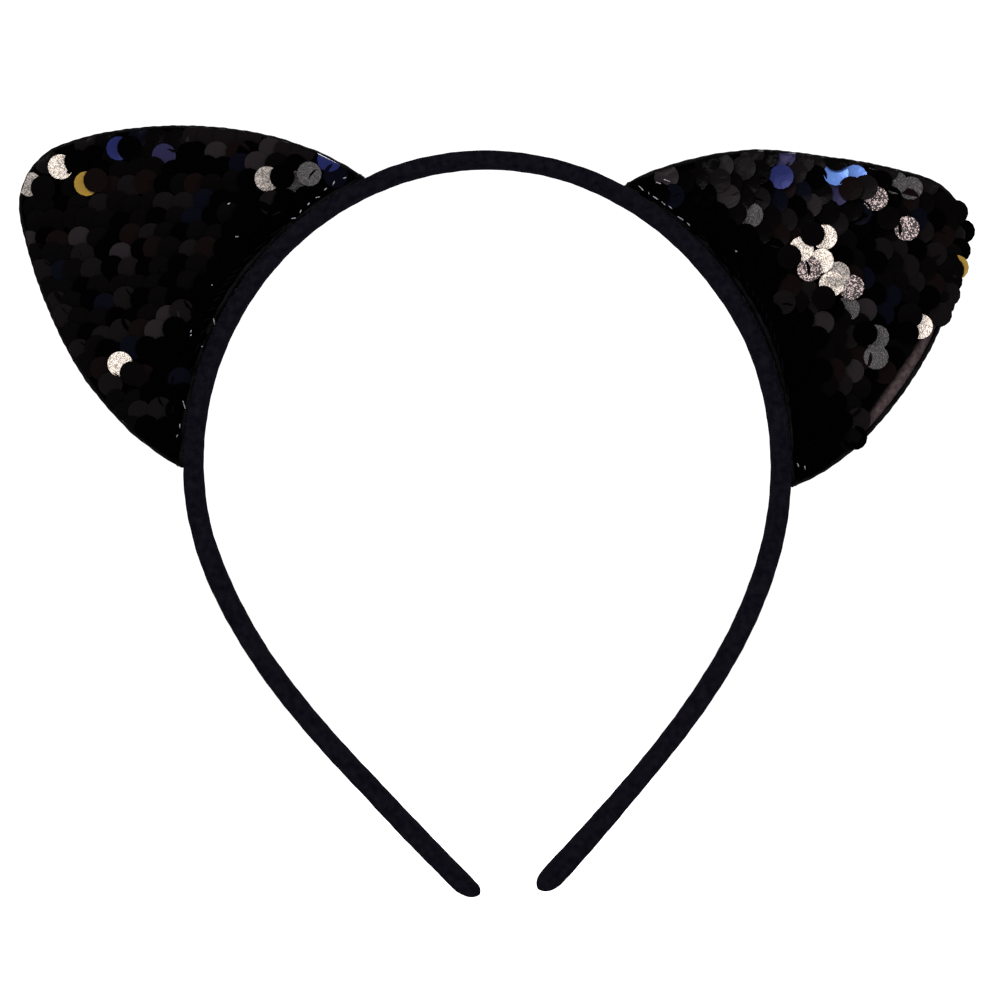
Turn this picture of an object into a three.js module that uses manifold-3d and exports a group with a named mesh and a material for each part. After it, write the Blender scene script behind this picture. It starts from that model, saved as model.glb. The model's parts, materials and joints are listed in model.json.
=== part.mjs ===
// Cat ears headband: a fabric-covered springy plastic hoop with two sequined cat ears.
// Millimetres, +Z up, X across the head, +Y towards the back. The origin is the point on
// the hoop's inner surface at the top of the head.
import * as THREE from "three";
import { mergeVertices } from "three/addons/utils/BufferGeometryUtils.js";
import Module from "manifold-3d";

const wasm = await Module();
wasm.setup();

// ---- Hoop: overall shape, on the middle line of the strip ----
const HOOP_HALF_WIDTH = 61.7;        // half the width at the widest level
const HOOP_RISE = 64.3;              // from the widest level up to the top
const HINGE_DROP_DEG = 8;            // the legs begin this far below the widest level
// ---- Hoop: the covered strip ----
const STRIP_WIDTH = 8;               // front to back
const STRIP_THICK_TOP = 3.2;
const STRIP_THICK_SIDE = 3.7;
const STRIP_EDGE_ROUND = 0.9;        // along its front and back edges
const FABRIC = 0.45;                 // thickness of the cover
const COVER_GAP = 0.3;               // between the cover and the plastic strip
const CORE_EDGE_ROUND = 0.5;
const SLEEVE_STOP = 0.8;             // the covers stop this short of the flexing place, each side
const FLEX_GAP = 0.35;               // between the plastic pieces at the flexing place
// ---- Legs: each runs from the flexing place to its tip ----
const LEGS = {
  left: { side: -1, tip: [-3.2, -151.3], reach: [27.6, 28.5], leanDeg: 46 },
  right: { side: 1, tip: [12, -150.3], reach: [32.2, 31.9], leanDeg: 42 },
};
const TIP_COVER_LENGTH = 9;
const TIP_OUTER_ROUND = 1.1;         // shares of half the strip's thickness
const TIP_INNER_ROUND = 0.55;
const TIP_FOLD = 0.15;               // the folded cover is this much thicker all round
// ---- Ears ----
const EARS = {
  left: { side: -1, seatDeg: 31.5 }, // direction of the ear above horizontal
  right: { side: 1, seatDeg: 28 },
};
const EAR_HEIGHT = 49.5;             // above the hoop's outer surface
const EAR_TIP_RADIUS = 13;
const EAR_SIDE_RADIUS = 87;
const EAR_BASE_HALF = 37;            // half the ear's width where it meets the hoop
const EAR_BASE_DROP = 9.5;           // how far the base corners reach down round the hoop
const EAR_MIDDLE_RISE = 2.4;         // the thickest place lies this far above the lines that
                                     // touch the hoop at the ear's corners
const EAR_BASE_GAP = 1.35;           // between the ear's lower edge and the hoop
const LAYER_GAP = 0.3;
const FILLER_EDGE_HALF = 0.5;        // half the felt's thickness at its edge
const EAR_CROWN = 1.3;               // extra half thickness in the ear's middle
const CLOTH = 0.35;
const SEQUIN_LAYER = 0.6;
const WIRE_RADIUS = 0.45;
// Sizes of the layers as shares of the way from the ear's middle to its outline
const FILLER_SHARE = 0.88;
const WIRE_SHARE = 0.925;
const CLOTH_SHARE = 0.957;
const BINDING_SHARE = 0.975;
const BINDING_HALF = 1.7;            // half the binding's width, front to back
const STITCHES = 8;                  // on each face of each ear
const STITCH_RADIUS = 0.22;
const STITCH_START = 1.6;            // above the ear's lower edge
const STITCH_LENGTH = 2.6;
const STITCH_MARGIN = 1.5;           // steps of the ear's base left free at each corner
const GLUE_THICK = 0.4;
const GLUE_WIDTH = 4.6;
const GLUE_REACH = 0.86;             // share of the ear's base that is glued
const GLUE_STEPS = 20;
// ---- Single sequins that stand flipped to their bright side ----
const SEQUIN_RADIUS = 2.6;
const SEQUIN_THICK = 0.35;
const SEQUIN_SIDES = 16;
const SEQUIN_LIFT = 0.4;             // above the sequin layer
const SLOPE_STEP = 0.5;              // the ear's slope is taken over this distance each way
const FLIPPED = {                    // direction from the ear's middle, share of the way out
  left: [[80.5, 0.885], [-22.6, 0.72], [-169.4, 0.74]],
  right: [[152, 0.31], [34.5, 0.87], [13.7, 0.08]],
};

// ---- Colours ----
const look = (color, roughness, metalness = 0) =>
  new THREE.MeshStandardMaterial({ color, roughness, metalness });
const PLASTIC = look(0x2a2a2c, 0.45);
const COVER_FABRIC = look(0x121116, 0.9);
const BASE_CLOTH = look(0x2b2826, 0.95);
const FELT = look(0x3a3836, 1.0);
const WIRE = look(0x8a8a8c, 0.35, 0.9);
const SEQUIN_BLACK = look(0x0c0c0f, 0.25);
const SEQUIN_SILVER = look(0xcfc9c2, 0.3, 0.7);
const THREAD = look(0x18171b, 0.8);
const GLUE = look(0x8f8b85, 0.2);

const object = new THREE.Group();
const deg = THREE.MathUtils.degToRad;
const v2 = (x, y) => new THREE.Vector2(x, y);

// ---------------------------------------------------------------- general helpers

function addMesh(parent, name, geometry, material) {
  const mesh = new THREE.Mesh(geometry, material);
  mesh.name = name;
  parent.add(mesh);
  return mesh;
}

function toSolid(geometry) {
  const bare = geometry.clone();
  for (const key of Object.keys(bare.attributes)) {
    if (key !== "position") bare.deleteAttribute(key);
  }
  const merged = mergeVertices(bare, 1e-5);
  return new wasm.Manifold(new wasm.Mesh({
    numProp: 3,
    vertProperties: new Float32Array(merged.attributes.position.array),
    triVerts: new Uint32Array(merged.index.array),
  }));
}

function cut(outer, ...inners) {
  let solid = toSolid(outer);
  for (const inner of inners) solid = solid.subtract(toSolid(inner));
  const mesh = solid.getMesh();
  const geometry = new THREE.BufferGeometry();
  geometry.setAttribute("position", new THREE.BufferAttribute(mesh.vertProperties, 3));
  geometry.setIndex(new THREE.BufferAttribute(mesh.triVerts, 1));
  return geometry;
}

// Points on an arc about (x, y), from one angle to the other
function arc(x, y, radius, from, to, steps) {
  return Array.from({ length: steps + 1 }, (_, i) => {
    const angle = from + (to - from) * i / steps;
    return v2(x + radius * Math.cos(angle), y + radius * Math.sin(angle));
  });
}

// ---------------------------------------------------------------- the hoop's middle line

// Eccentric angle of the place where the hoop's outward normal stands at this angle
const eccentric = (normal) =>
  Math.atan2(HOOP_RISE * Math.sin(normal), HOOP_HALF_WIDTH * Math.cos(normal));

const HOOP_CENTRE_Z = -(HOOP_RISE - STRIP_THICK_TOP / 2);
const HINGE_ANGLE = -deg(HINGE_DROP_DEG);
const crownCurve = new THREE.EllipseCurve(
  0, HOOP_CENTRE_Z, HOOP_HALF_WIDTH, HOOP_RISE,
  eccentric(HINGE_ANGLE), Math.PI - eccentric(HINGE_ANGLE), false);
crownCurve.arcLengthDivisions = 800;
const CROWN_LENGTH = crownCurve.getLength();

// Half the covered strip's thickness where its outward normal stands at this angle
function halfThickness(normal) {
  const sideways = Math.cos(normal) ** 2;
  return (STRIP_THICK_TOP + (STRIP_THICK_SIDE - STRIP_THICK_TOP) * sideways) / 2;
}

// A leg starts where the crown ends, in the same direction, and leans in to its tip
function legCurve({ side, tip, reach, leanDeg }) {
  const start = crownCurve.getPoint(side > 0 ? 0 : 1);
  const down = v2(side * Math.sin(HINGE_ANGLE), -Math.cos(HINGE_ANGLE));
  const towardsTip = v2(-side * Math.sin(deg(leanDeg)), -Math.cos(deg(leanDeg)));
  const end = v2(...tip);
  const curve = new THREE.CubicBezierCurve(
    start, start.clone().addScaledVector(down, reach[0]),
    end.clone().addScaledVector(towardsTip, -reach[1]), end);
  curve.arcLengthDivisions = 400;
  return curve;
}

// Stations along a curve at even distances; past its ends they go on in a straight line.
// Each has its place, its direction along and the normal that points away from the head.
function stations(curve, outward, from, to, steps) {
  const length = curve.getLength();
  return Array.from({ length: steps + 1 }, (_, i) => {
    const distance = from + (to - from) * i / steps;
    const share = THREE.MathUtils.clamp(distance / length, 0, 1);
    const along = curve.getTangentAt(share);
    const place = curve.getPointAt(share).addScaledVector(along, distance - share * length);
    const normal = v2(along.y, -along.x).multiplyScalar(outward);
    return { place, along, normal };
  });
}

// ---------------------------------------------------------------- strips of the hoop

// A closed outline in the XZ plane, made a solid of this width about the plane y = 0,
// with its front and back edges rounded
function bandSolid(points, width, round, roundSteps = 1) {
  const shape = new THREE.Shape(points);
  const rounded = round > 0;
  const geometry = new THREE.ExtrudeGeometry(shape, {
    depth: width - 2 * round, steps: 1,
    bevelEnabled: rounded, bevelThickness: round, bevelSize: round, bevelOffset: -round,
    bevelSegments: roundSteps,
  });
  geometry.rotateX(Math.PI / 2);
  geometry.translate(0, width / 2 - round, 0);
  return geometry;
}

// Both long sides of a strip: its outer side in order, then its inner side backwards
function stripSides(places, half) {
  const outer = places.map(({ place, normal }) =>
    place.clone().addScaledVector(normal, half(normal)));
  const inner = places.map(({ place, normal }) =>
    place.clone().addScaledVector(normal, -half(normal)));
  return { outer, inner: inner.reverse() };
}

// Half thickness at a place: the normal's angle is taken on the +X side for both sides
const halfAt = (inset) => (normal) =>
  halfThickness(Math.atan2(normal.y, Math.abs(normal.x))) - inset;

const CORE_INSET = FABRIC + COVER_GAP;
const CORE_WIDTH = STRIP_WIDTH - 2 * CORE_INSET;
const CAVITY_WIDTH = STRIP_WIDTH - 2 * FABRIC;
const coreHalfAtHinge = halfThickness(HINGE_ANGLE) - CORE_INSET;

function crownStrip(inset, width, round, from, to, roundSteps) {
  const sides = stripSides(stations(crownCurve, 1, from, to, CROWN_STEPS), halfAt(inset));
  return bandSolid([...sides.outer, ...sides.inner], width, round, roundSteps);
}

// A leg's strip from one distance along it to its tip. At the tip the outer corner has a
// large round and the inner corner a small one, both in the tip's own directions.
function legStrip(curve, outward, from, end, half, steps) {
  const outerRound = TIP_OUTER_ROUND * half;
  const innerRound = TIP_INNER_ROUND * half;
  const sides = stripSides(
    stations(curve, outward, from, end - outerRound, steps), () => half);
  const [{ place, along, normal }] = stations(curve, outward, end, end, 1);
  const at = ({ x, y }) => place.clone().addScaledVector(along, x).addScaledVector(normal, y);
  const tip = [
    ...arc(-outerRound, half - outerRound, outerRound, Math.PI / 2, 0, 5).slice(1),
    ...arc(-innerRound, innerRound - half, innerRound, 0, -Math.PI / 2, 3),
  ].map(at);
  return [...sides.outer, ...tip, ...sides.inner];
}

// The long edges of the tip pieces are rounded no further than their inner corner allows
const tipEdgeRound = (round, half) => Math.min(round, 0.85 * TIP_INNER_ROUND * half);

const CROWN_STEPS = 40;
const LEG_STEPS = 18;
const TIP_STATIONS = 3;
const crownCoreStop = coreHalfAtHinge + FLEX_GAP;

addMesh(object, "crown_core", crownStrip(
  CORE_INSET, CORE_WIDTH, CORE_EDGE_ROUND,
  crownCoreStop, CROWN_LENGTH - crownCoreStop), PLASTIC);

addMesh(object, "crown_sleeve", cut(
  crownStrip(0, STRIP_WIDTH, STRIP_EDGE_ROUND,
    SLEEVE_STOP, CROWN_LENGTH - SLEEVE_STOP, 2),
  crownStrip(FABRIC, CAVITY_WIDTH, CORE_EDGE_ROUND,
    -SLEEVE_STOP, CROWN_LENGTH + SLEEVE_STOP)), COVER_FABRIC);

const legHalf = halfThickness(HINGE_ANGLE);
const tipHalf = legHalf + TIP_FOLD;
const cavityHalf = legHalf - FABRIC;

for (const [name, leg] of Object.entries(LEGS)) {
  const curve = legCurve(leg);
  const outward = -leg.side;
  const length = curve.getLength();
  const coverStart = length - TIP_COVER_LENGTH;
  const strip = (from, end, half, steps) => legStrip(curve, outward, from, end, half, steps);

  // Plastic core: round about the flexing place at its upper end
  const hinge = curve.getPoint(0);
  const across = leg.side > 0 ? Math.PI + HINGE_ANGLE : -HINGE_ANGLE;
  const roundEnd = arc(hinge.x, hinge.y, coreHalfAtHinge,
    across, across - leg.side * Math.PI, 8).slice(1, -1);
  addMesh(object, `${name}_leg_core`, bandSolid(
    [...strip(0, length - CORE_INSET, coreHalfAtHinge, LEG_STEPS), ...roundEnd],
    CORE_WIDTH, tipEdgeRound(CORE_EDGE_ROUND, coreHalfAtHinge)), PLASTIC);

  // Cover of the leg, open at both ends
  const tube = (half, width, round, from, to, roundSteps) => {
    const sides = stripSides(stations(curve, outward, from, to, LEG_STEPS), () => half);
    return bandSolid([...sides.outer, ...sides.inner], width, round, roundSteps);
  };
  addMesh(object, `${name}_leg_sleeve`, cut(
    tube(legHalf, STRIP_WIDTH, STRIP_EDGE_ROUND, SLEEVE_STOP, coverStart - COVER_GAP, 2),
    tube(cavityHalf, CAVITY_WIDTH, CORE_EDGE_ROUND,
      -SLEEVE_STOP, coverStart + COVER_GAP)), COVER_FABRIC);

  // Folded end of the cover, a cup over the tip of the core
  addMesh(object, `${name}_tip_cover`, cut(
    bandSolid(strip(coverStart, length, tipHalf, TIP_STATIONS),
      STRIP_WIDTH + 2 * TIP_FOLD, tipEdgeRound(STRIP_EDGE_ROUND, tipHalf), 2),
    bandSolid(strip(coverStart - COVER_GAP, length - FABRIC, cavityHalf, TIP_STATIONS),
      CAVITY_WIDTH, tipEdgeRound(CORE_EDGE_ROUND, cavityHalf))), COVER_FABRIC);
}

// ---------------------------------------------------------------- ear outline

// The hoop's outer surface, this far off it, where its normal stands at an angle
function hoopOutside(normal, off) {
  const angle = eccentric(normal);
  const reach = halfThickness(normal) + off;
  return v2(
    HOOP_HALF_WIDTH * Math.cos(angle) + reach * Math.cos(normal),
    HOOP_CENTRE_Z + HOOP_RISE * Math.sin(angle) + reach * Math.sin(normal));
}

// The ear's own directions: y up the ear, x across it, from the place where it sits.
// Both ears are worked out on the +X side; the left one is then turned over.
function intoEar(point, seat, seatAngle) {
  const offset = point.clone().sub(seat);
  const up = v2(Math.cos(seatAngle), Math.sin(seatAngle));
  return v2(offset.x * up.y - offset.y * up.x, offset.dot(up));
}

// Centre of the side arc: it passes through the base corner and runs smoothly into the
// tip arc, so it lies on a circle about the corner and on one about the tip's centre
function sideCentre() {
  const corner = v2(EAR_BASE_HALF, -EAR_BASE_DROP);
  const tip = v2(0, EAR_HEIGHT - EAR_TIP_RADIUS);
  const fromTip = EAR_SIDE_RADIUS - EAR_TIP_RADIUS;
  const between = corner.distanceTo(tip);
  const along = (fromTip ** 2 - EAR_SIDE_RADIUS ** 2 + between ** 2) / (2 * between);
  const across = Math.sqrt(fromTip ** 2 - along ** 2);
  const direction = corner.clone().sub(tip).divideScalar(between);
  return tip.clone()
    .addScaledVector(direction, along)
    .addScaledVector(v2(direction.y, -direction.x), across);
}

const SIDE_STEPS = 9;
const TIP_STEPS = 8;
const BASE_STEPS = 16;

// Normal angles of the hoop along an ear's foot, or along a share of it, in even steps. The
// foot runs round the hoop until it meets each side of the ear, found by halving the step.
function footAngles(seatAngle, steps, share = 1) {
  const seat = hoopOutside(seatAngle, 0);
  const centre = sideCentre();
  const onSide = (y) => centre.x + Math.sqrt(EAR_SIDE_RADIUS ** 2 - (y - centre.y) ** 2);
  const corner = (sign) => {
    let low = 0;
    let high = sign * deg(60);
    for (let i = 0; i < 40; i += 1) {
      const middle = (low + high) / 2;
      const point = intoEar(hoopOutside(seatAngle + middle, EAR_BASE_GAP), seat, seatAngle);
      if (Math.abs(point.x) < onSide(point.y)) low = middle;
      else high = middle;
    }
    return low * share;
  };
  // A larger normal angle lies nearer the top of the hoop, which is -x in the ear
  const start = corner(1);
  const end = corner(-1);
  return Array.from({ length: steps + 1 },
    (_, i) => seatAngle + start + (end - start) * i / steps);
}

// The whole outline, anticlockwise: along the hoop, up one side, round the tip, down again
function earOutline(seatAngle) {
  const seat = hoopOutside(seatAngle, 0);
  const centre = sideCentre();
  const tip = v2(0, EAR_HEIGHT - EAR_TIP_RADIUS);
  const blend = Math.atan2(tip.y - centre.y, tip.x - centre.x);
  const foot = footAngles(seatAngle, BASE_STEPS).map(
    (angle) => intoEar(hoopOutside(angle, EAR_BASE_GAP), seat, seatAngle));
  const sideFrom = (y) => Math.asin((y - centre.y) / EAR_SIDE_RADIUS);
  const rightSide = arc(centre.x, centre.y, EAR_SIDE_RADIUS,
    sideFrom(foot.at(-1).y), blend, SIDE_STEPS);
  const leftSide = arc(centre.x, centre.y, EAR_SIDE_RADIUS,
    sideFrom(foot[0].y), blend, SIDE_STEPS).map(({ x, y }) => v2(-x, y)).reverse();
  const top = arc(tip.x, tip.y, EAR_TIP_RADIUS, blend, Math.PI - blend, TIP_STEPS);
  return [...foot, ...rightSide.slice(1), ...top.slice(1, -1), ...leftSide.slice(0, -1)];
}

// ---------------------------------------------------------------- ear layers

// The ear's thickest place, high enough for the whole outline to be seen from it: a line
// that touches the hoop at the ear's corner meets the ear's middle line at this height
const footRadius = HOOP_RISE + STRIP_THICK_TOP / 2 + EAR_BASE_GAP;
const touchHeight = footRadius / Math.sqrt(1 - (EAR_BASE_HALF / footRadius) ** 2)
  - HOOP_RISE - STRIP_THICK_TOP / 2;
const earMiddle = v2(0, touchHeight + EAR_MIDDLE_RISE);
const shrink = (points, share) => points.map((point) => earMiddle.clone().lerp(point, share));
const dome = (share) => EAR_CROWN * (1 - share ** 2);

// A closed leaf between two heights, over the outline shrunk to `reach`. front(share) and
// back(share) give how far each face stands towards the front; the face is a set of rings
// from the middle out to the edge.
function leaf(outline, reach, front, back, rings) {
  const count = outline.length;
  const positions = [];
  const index = [];
  const put = (point, towardsFront) => positions.push(point.x, -towardsFront, point.y);
  const faces = [front, back];
  for (const face of faces) {
    put(earMiddle, face(0));
    for (let ring = 1; ring <= rings; ring += 1) {
      const share = reach * ring / rings;
      for (const point of shrink(outline, share)) put(point, face(share));
    }
  }
  const perFace = 1 + count * rings;
  const at = (face, ring, i) => face * perFace + 1 + (ring - 1) * count + i % count;
  for (let i = 0; i < count; i += 1) {
    index.push(0, at(0, 1, i), at(0, 1, i + 1));
    index.push(perFace, at(1, 1, i + 1), at(1, 1, i));
    for (let ring = 1; ring < rings; ring += 1) {
      index.push(at(0, ring, i), at(0, ring + 1, i), at(0, ring + 1, i + 1));
      index.push(at(0, ring, i), at(0, ring + 1, i + 1), at(0, ring, i + 1));
      index.push(at(1, ring, i), at(1, ring + 1, i + 1), at(1, ring + 1, i));
      index.push(at(1, ring, i), at(1, ring, i + 1), at(1, ring + 1, i + 1));
    }
    index.push(at(0, rings, i), at(1, rings, i), at(1, rings, i + 1));
    index.push(at(0, rings, i), at(1, rings, i + 1), at(0, rings, i + 1));
  }
  const geometry = new THREE.BufferGeometry();
  geometry.setAttribute("position", new THREE.Float32BufferAttribute(positions, 3));
  geometry.setIndex(index);
  return geometry;
}

// A strip of rectangular section that stands on a run of the outline, from share to 1
function edgeStrip(points, share, halfWidth) {
  const positions = [];
  const index = [];
  for (const point of points) {
    const inside = earMiddle.clone().lerp(point, share);
    positions.push(point.x, -halfWidth, point.y, point.x, halfWidth, point.y);
    positions.push(inside.x, halfWidth, inside.y, inside.x, -halfWidth, inside.y);
  }
  for (let i = 0; i + 1 < points.length; i += 1) {
    for (let side = 0; side < 4; side += 1) {
      const a = 4 * i + side;
      const b = 4 * i + (side + 1) % 4;
      index.push(a, b, b + 4, a, b + 4, a + 4);
    }
  }
  const last = 4 * (points.length - 1);
  index.push(0, 2, 1, 0, 3, 2, last, last + 1, last + 2, last, last + 2, last + 3);
  const geometry = new THREE.BufferGeometry();
  geometry.setAttribute("position", new THREE.Float32BufferAttribute(positions, 3));
  geometry.setIndex(index);
  return geometry;
}

// A round wire or thread along a smooth line of points
function roundTube(points, radius, sides, steps) {
  const section = new THREE.Shape(arc(0, 0, radius, 0, 2 * Math.PI, sides).slice(0, -1));
  return new THREE.ExtrudeGeometry(section, {
    steps, bevelEnabled: false, extrudePath: new THREE.CatmullRomCurve3(points),
  });
}

const clothInner = FILLER_EDGE_HALF + LAYER_GAP;
const clothOuter = clothInner + CLOTH;
const sequinInner = clothOuter + LAYER_GAP;
const sequinOuter = sequinInner + SEQUIN_LAYER;
const raised = (height) => (share) => height + dome(share);
const lowered = (height) => (share) => -height - dome(share);

// How far out a place lies, as a share of the way from the ear's middle to its outline
function shareAt(outline, point) {
  const out = point.clone().sub(earMiddle);
  for (let i = 0; i < outline.length; i += 1) {
    const a = outline[i].clone().sub(earMiddle);
    const b = outline[(i + 1) % outline.length].clone().sub(earMiddle);
    const area = a.cross(b);
    const alongA = out.cross(b) / area;
    const alongB = a.cross(out) / area;
    if (alongA > -1e-9 && alongB > -1e-9) return alongA + alongB;
  }
  return 0;
}

// Height of the ear's face at a place on it
const faceHeight = (outline, point) => sequinOuter + dome(shareAt(outline, point));

// The place in a direction from the ear's middle, at a share of the way to its outline
function placeAt(outline, directionDeg, share) {
  const direction = v2(Math.cos(deg(directionDeg)), Math.sin(deg(directionDeg)));
  const unitShare = shareAt(outline, earMiddle.clone().add(direction));
  return earMiddle.clone().addScaledVector(direction, share / unitShare);
}

// The thread on one face (1 front, -1 back): it runs to and fro across the ear's lower edge
function stitchThread(outline, face) {
  const foot = outline.slice(0, BASE_STEPS + 1);
  const turns = 2 * STITCHES;
  const lift = LAYER_GAP + STITCH_RADIUS;
  const points = Array.from({ length: turns + 1 }, (_, i) => {
    const place = STITCH_MARGIN + i * (BASE_STEPS - 2 * STITCH_MARGIN) / turns;
    const whole = Math.floor(place);
    const edge = foot[whole].clone().lerp(foot[whole + 1], place - whole);
    const inwards = earMiddle.clone().sub(edge).normalize();
    edge.addScaledVector(inwards, STITCH_START + (i % 2) * STITCH_LENGTH);
    return new THREE.Vector3(edge.x, -face * (faceHeight(outline, edge) + lift), edge.y);
  });
  return roundTube(points, STITCH_RADIUS, 5, 3 * turns);
}

// Dried glue on the hoop under the ear, stopping short of the ear's corners
function glueBead(seatAngle) {
  const line = (off) => footAngles(seatAngle, GLUE_STEPS, GLUE_REACH).map(
    (angle) => hoopOutside(angle, off));
  return bandSolid([...line(LAYER_GAP), ...line(LAYER_GAP + GLUE_THICK).reverse()],
    GLUE_WIDTH, 0);
}

for (const [name, { side, seatDeg }] of Object.entries(EARS)) {
  const seatAngle = deg(seatDeg);
  const mirror = (points) => (side > 0 ? points
    : points.map(({ x, y }) => v2(-x, y)).reverse());
  const outline = earOutline(seatAngle);
  const shape = mirror(outline);
  // The foot of the outline lies first on the right ear and last on the left one
  const ordered = side > 0 ? shape
    : [...shape.slice(-BASE_STEPS - 1), ...shape.slice(0, -BASE_STEPS - 1)];

  const ear = new THREE.Group();
  const seat = hoopOutside(seatAngle, 0);
  ear.position.set(side * seat.x, 0, seat.y);
  ear.rotation.y = side * (Math.PI / 2 - seatAngle);
  object.add(ear);

  addMesh(ear, `${name}_ear_filler`, leaf(ordered, FILLER_SHARE,
    raised(FILLER_EDGE_HALF), lowered(FILLER_EDGE_HALF), 3), FELT);
  addMesh(ear, `${name}_ear_front_cloth`, leaf(ordered, CLOTH_SHARE,
    raised(clothOuter), raised(clothInner), 3), BASE_CLOTH);
  addMesh(ear, `${name}_ear_back_cloth`, leaf(ordered, CLOTH_SHARE,
    lowered(clothInner), lowered(clothOuter), 3), BASE_CLOTH);
  addMesh(ear, `${name}_ear_front_sequins`, leaf(ordered, CLOTH_SHARE,
    raised(sequinOuter), raised(sequinInner), 3), SEQUIN_BLACK);
  addMesh(ear, `${name}_ear_back_sequins`, leaf(ordered, CLOTH_SHARE,
    lowered(sequinInner), lowered(sequinOuter), 3), SEQUIN_BLACK);

  // The free part of the outline: up one side, round the tip and down the other
  const free = [...ordered.slice(BASE_STEPS), ordered[0]];
  const wireLine = shrink(free, WIRE_SHARE).map(({ x, y }) => new THREE.Vector3(x, 0, y));
  addMesh(ear, `${name}_ear_edge_wire`, roundTube(wireLine, WIRE_RADIUS, 6, 36), WIRE);
  addMesh(ear, `${name}_ear_binding`, edgeStrip(free, BINDING_SHARE, BINDING_HALF),
    BASE_CLOTH);
  addMesh(ear, `${name}_ear_front_stitches`, stitchThread(ordered, 1), THREAD);
  addMesh(ear, `${name}_ear_back_stitches`, stitchThread(ordered, -1), THREAD);

  // Single sequins: each swings on the thread through the hole at its lower edge, on the
  // hoop's side, and its free end points up the ear
  FLIPPED[name].forEach(([directionDeg, share], i) => {
    const place = placeAt(ordered, directionDeg, share);
    const rise = (dx, dy) => faceHeight(ordered, place.clone().add(v2(dx, dy)));
    const slopeX = (rise(SLOPE_STEP, 0) - rise(-SLOPE_STEP, 0)) / (2 * SLOPE_STEP);
    const slopeZ = (rise(0, SLOPE_STEP) - rise(0, -SLOPE_STEP)) / (2 * SLOPE_STEP);
    const normal = new THREE.Vector3(-slopeX, -1, -slopeZ).normalize();
    const disc = new THREE.CylinderGeometry(
      SEQUIN_RADIUS, SEQUIN_RADIUS, SEQUIN_THICK, SEQUIN_SIDES);
    const mesh = addMesh(ear, `${name}_ear_flipped_sequin_${i + 1}`, disc, SEQUIN_SILVER);
    mesh.quaternion.setFromUnitVectors(new THREE.Vector3(0, 1, 0), normal);
    mesh.position.set(place.x, -rise(0, 0), place.y)
      .addScaledVector(normal, SEQUIN_LIFT + SEQUIN_THICK / 2);
  });

  const bead = glueBead(seatAngle);
  if (side < 0) bead.rotateZ(Math.PI);
  addMesh(object, `${name}_ear_glue_bead`, bead, GLUE);
}

export default object;
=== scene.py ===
# %% [markdown]
# # A cat ears headband
# A springy plastic hoop in a satin cover carries two soft ears. The ears are small padded
# pockets of knit cloth with hundreds of loose sequins sewn on. The solid parts come from the
# CAD frame; here each cover, pad, disc and thread is made as the real one is.

# %% Start from the frame
import json
import math

import bpy
import numpy as np
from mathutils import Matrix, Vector


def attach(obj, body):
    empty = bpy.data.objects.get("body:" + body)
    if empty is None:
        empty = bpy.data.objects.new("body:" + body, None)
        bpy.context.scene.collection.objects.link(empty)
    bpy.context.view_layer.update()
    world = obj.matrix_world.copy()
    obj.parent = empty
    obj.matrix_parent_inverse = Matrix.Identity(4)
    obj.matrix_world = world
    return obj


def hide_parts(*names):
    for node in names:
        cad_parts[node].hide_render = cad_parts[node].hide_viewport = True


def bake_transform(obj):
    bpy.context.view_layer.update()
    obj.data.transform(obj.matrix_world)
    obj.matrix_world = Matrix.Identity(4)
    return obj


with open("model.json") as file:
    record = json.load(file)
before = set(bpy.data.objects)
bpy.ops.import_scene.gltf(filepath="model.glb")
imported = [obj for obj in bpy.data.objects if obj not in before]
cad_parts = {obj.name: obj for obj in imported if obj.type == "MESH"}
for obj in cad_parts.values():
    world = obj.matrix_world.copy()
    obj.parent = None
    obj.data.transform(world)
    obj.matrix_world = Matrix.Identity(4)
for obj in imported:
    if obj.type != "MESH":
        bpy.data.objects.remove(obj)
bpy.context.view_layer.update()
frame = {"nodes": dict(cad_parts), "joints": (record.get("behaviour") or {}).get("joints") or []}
MM = 0.001
JOINTS = {joint["name"]: joint for joint in frame["joints"]}
rng = np.random.default_rng(27)

# %% [markdown]
# Every surface below is a grid of points worked out with numpy. One helper turns a grid into
# faces, and one puts points and faces into a mesh object at the origin.

# %% Mesh helpers
def grid_faces(rows, columns, wrap_rows=False, wrap_columns=False):
    """Quads between neighbours of a grid of points numbered row by row; a wrapped direction
    also joins its last line to its first."""
    r = np.arange(rows if wrap_rows else rows - 1)[:, None]
    c = np.arange(columns if wrap_columns else columns - 1)[None, :]
    r1, c1 = (r + 1) % rows, (c + 1) % columns
    quads = [r * columns + c, r1 * columns + c, r1 * columns + c1, r * columns + c1]
    return np.stack([np.broadcast_to(q, (r.size, c.size)) for q in quads], -1).reshape(-1, 4)


def fan(ring, centre):
    """Triangles from a centre point to each step of a closed ring of point numbers."""
    ring = np.asarray(ring)
    return np.stack([np.roll(ring, -1), ring, np.full(ring.size, centre)], -1)


def closed_faces(rows, columns):
    """Faces of a tube of rings numbered one after another, and of its two ends, whose centre
    points come after the rings."""
    ring, count = np.arange(columns), rows * columns
    return [grid_faces(rows, columns, wrap_columns=True), fan(ring, count)[:, ::-1],
            fan(count - columns + ring, count + 1)]


def copies(block, count, stride):
    """The same faces for many copies whose points follow one another."""
    starts = np.arange(count)[:, None, None] * stride
    return (block[None] + starts).reshape(-1, block.shape[1])


def joined(parts):
    """Several (points, faces) as one."""
    starts = np.cumsum([0] + [len(points) for points, _ in parts])
    return (np.vstack([points for points, _ in parts]),
            [block + start for (_, faces), start in zip(parts, starts) for block in faces])


def unit(vectors):
    """Each vector of a list divided by its length."""
    return vectors / np.linalg.norm(vectors, axis=1)[:, None]


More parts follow.
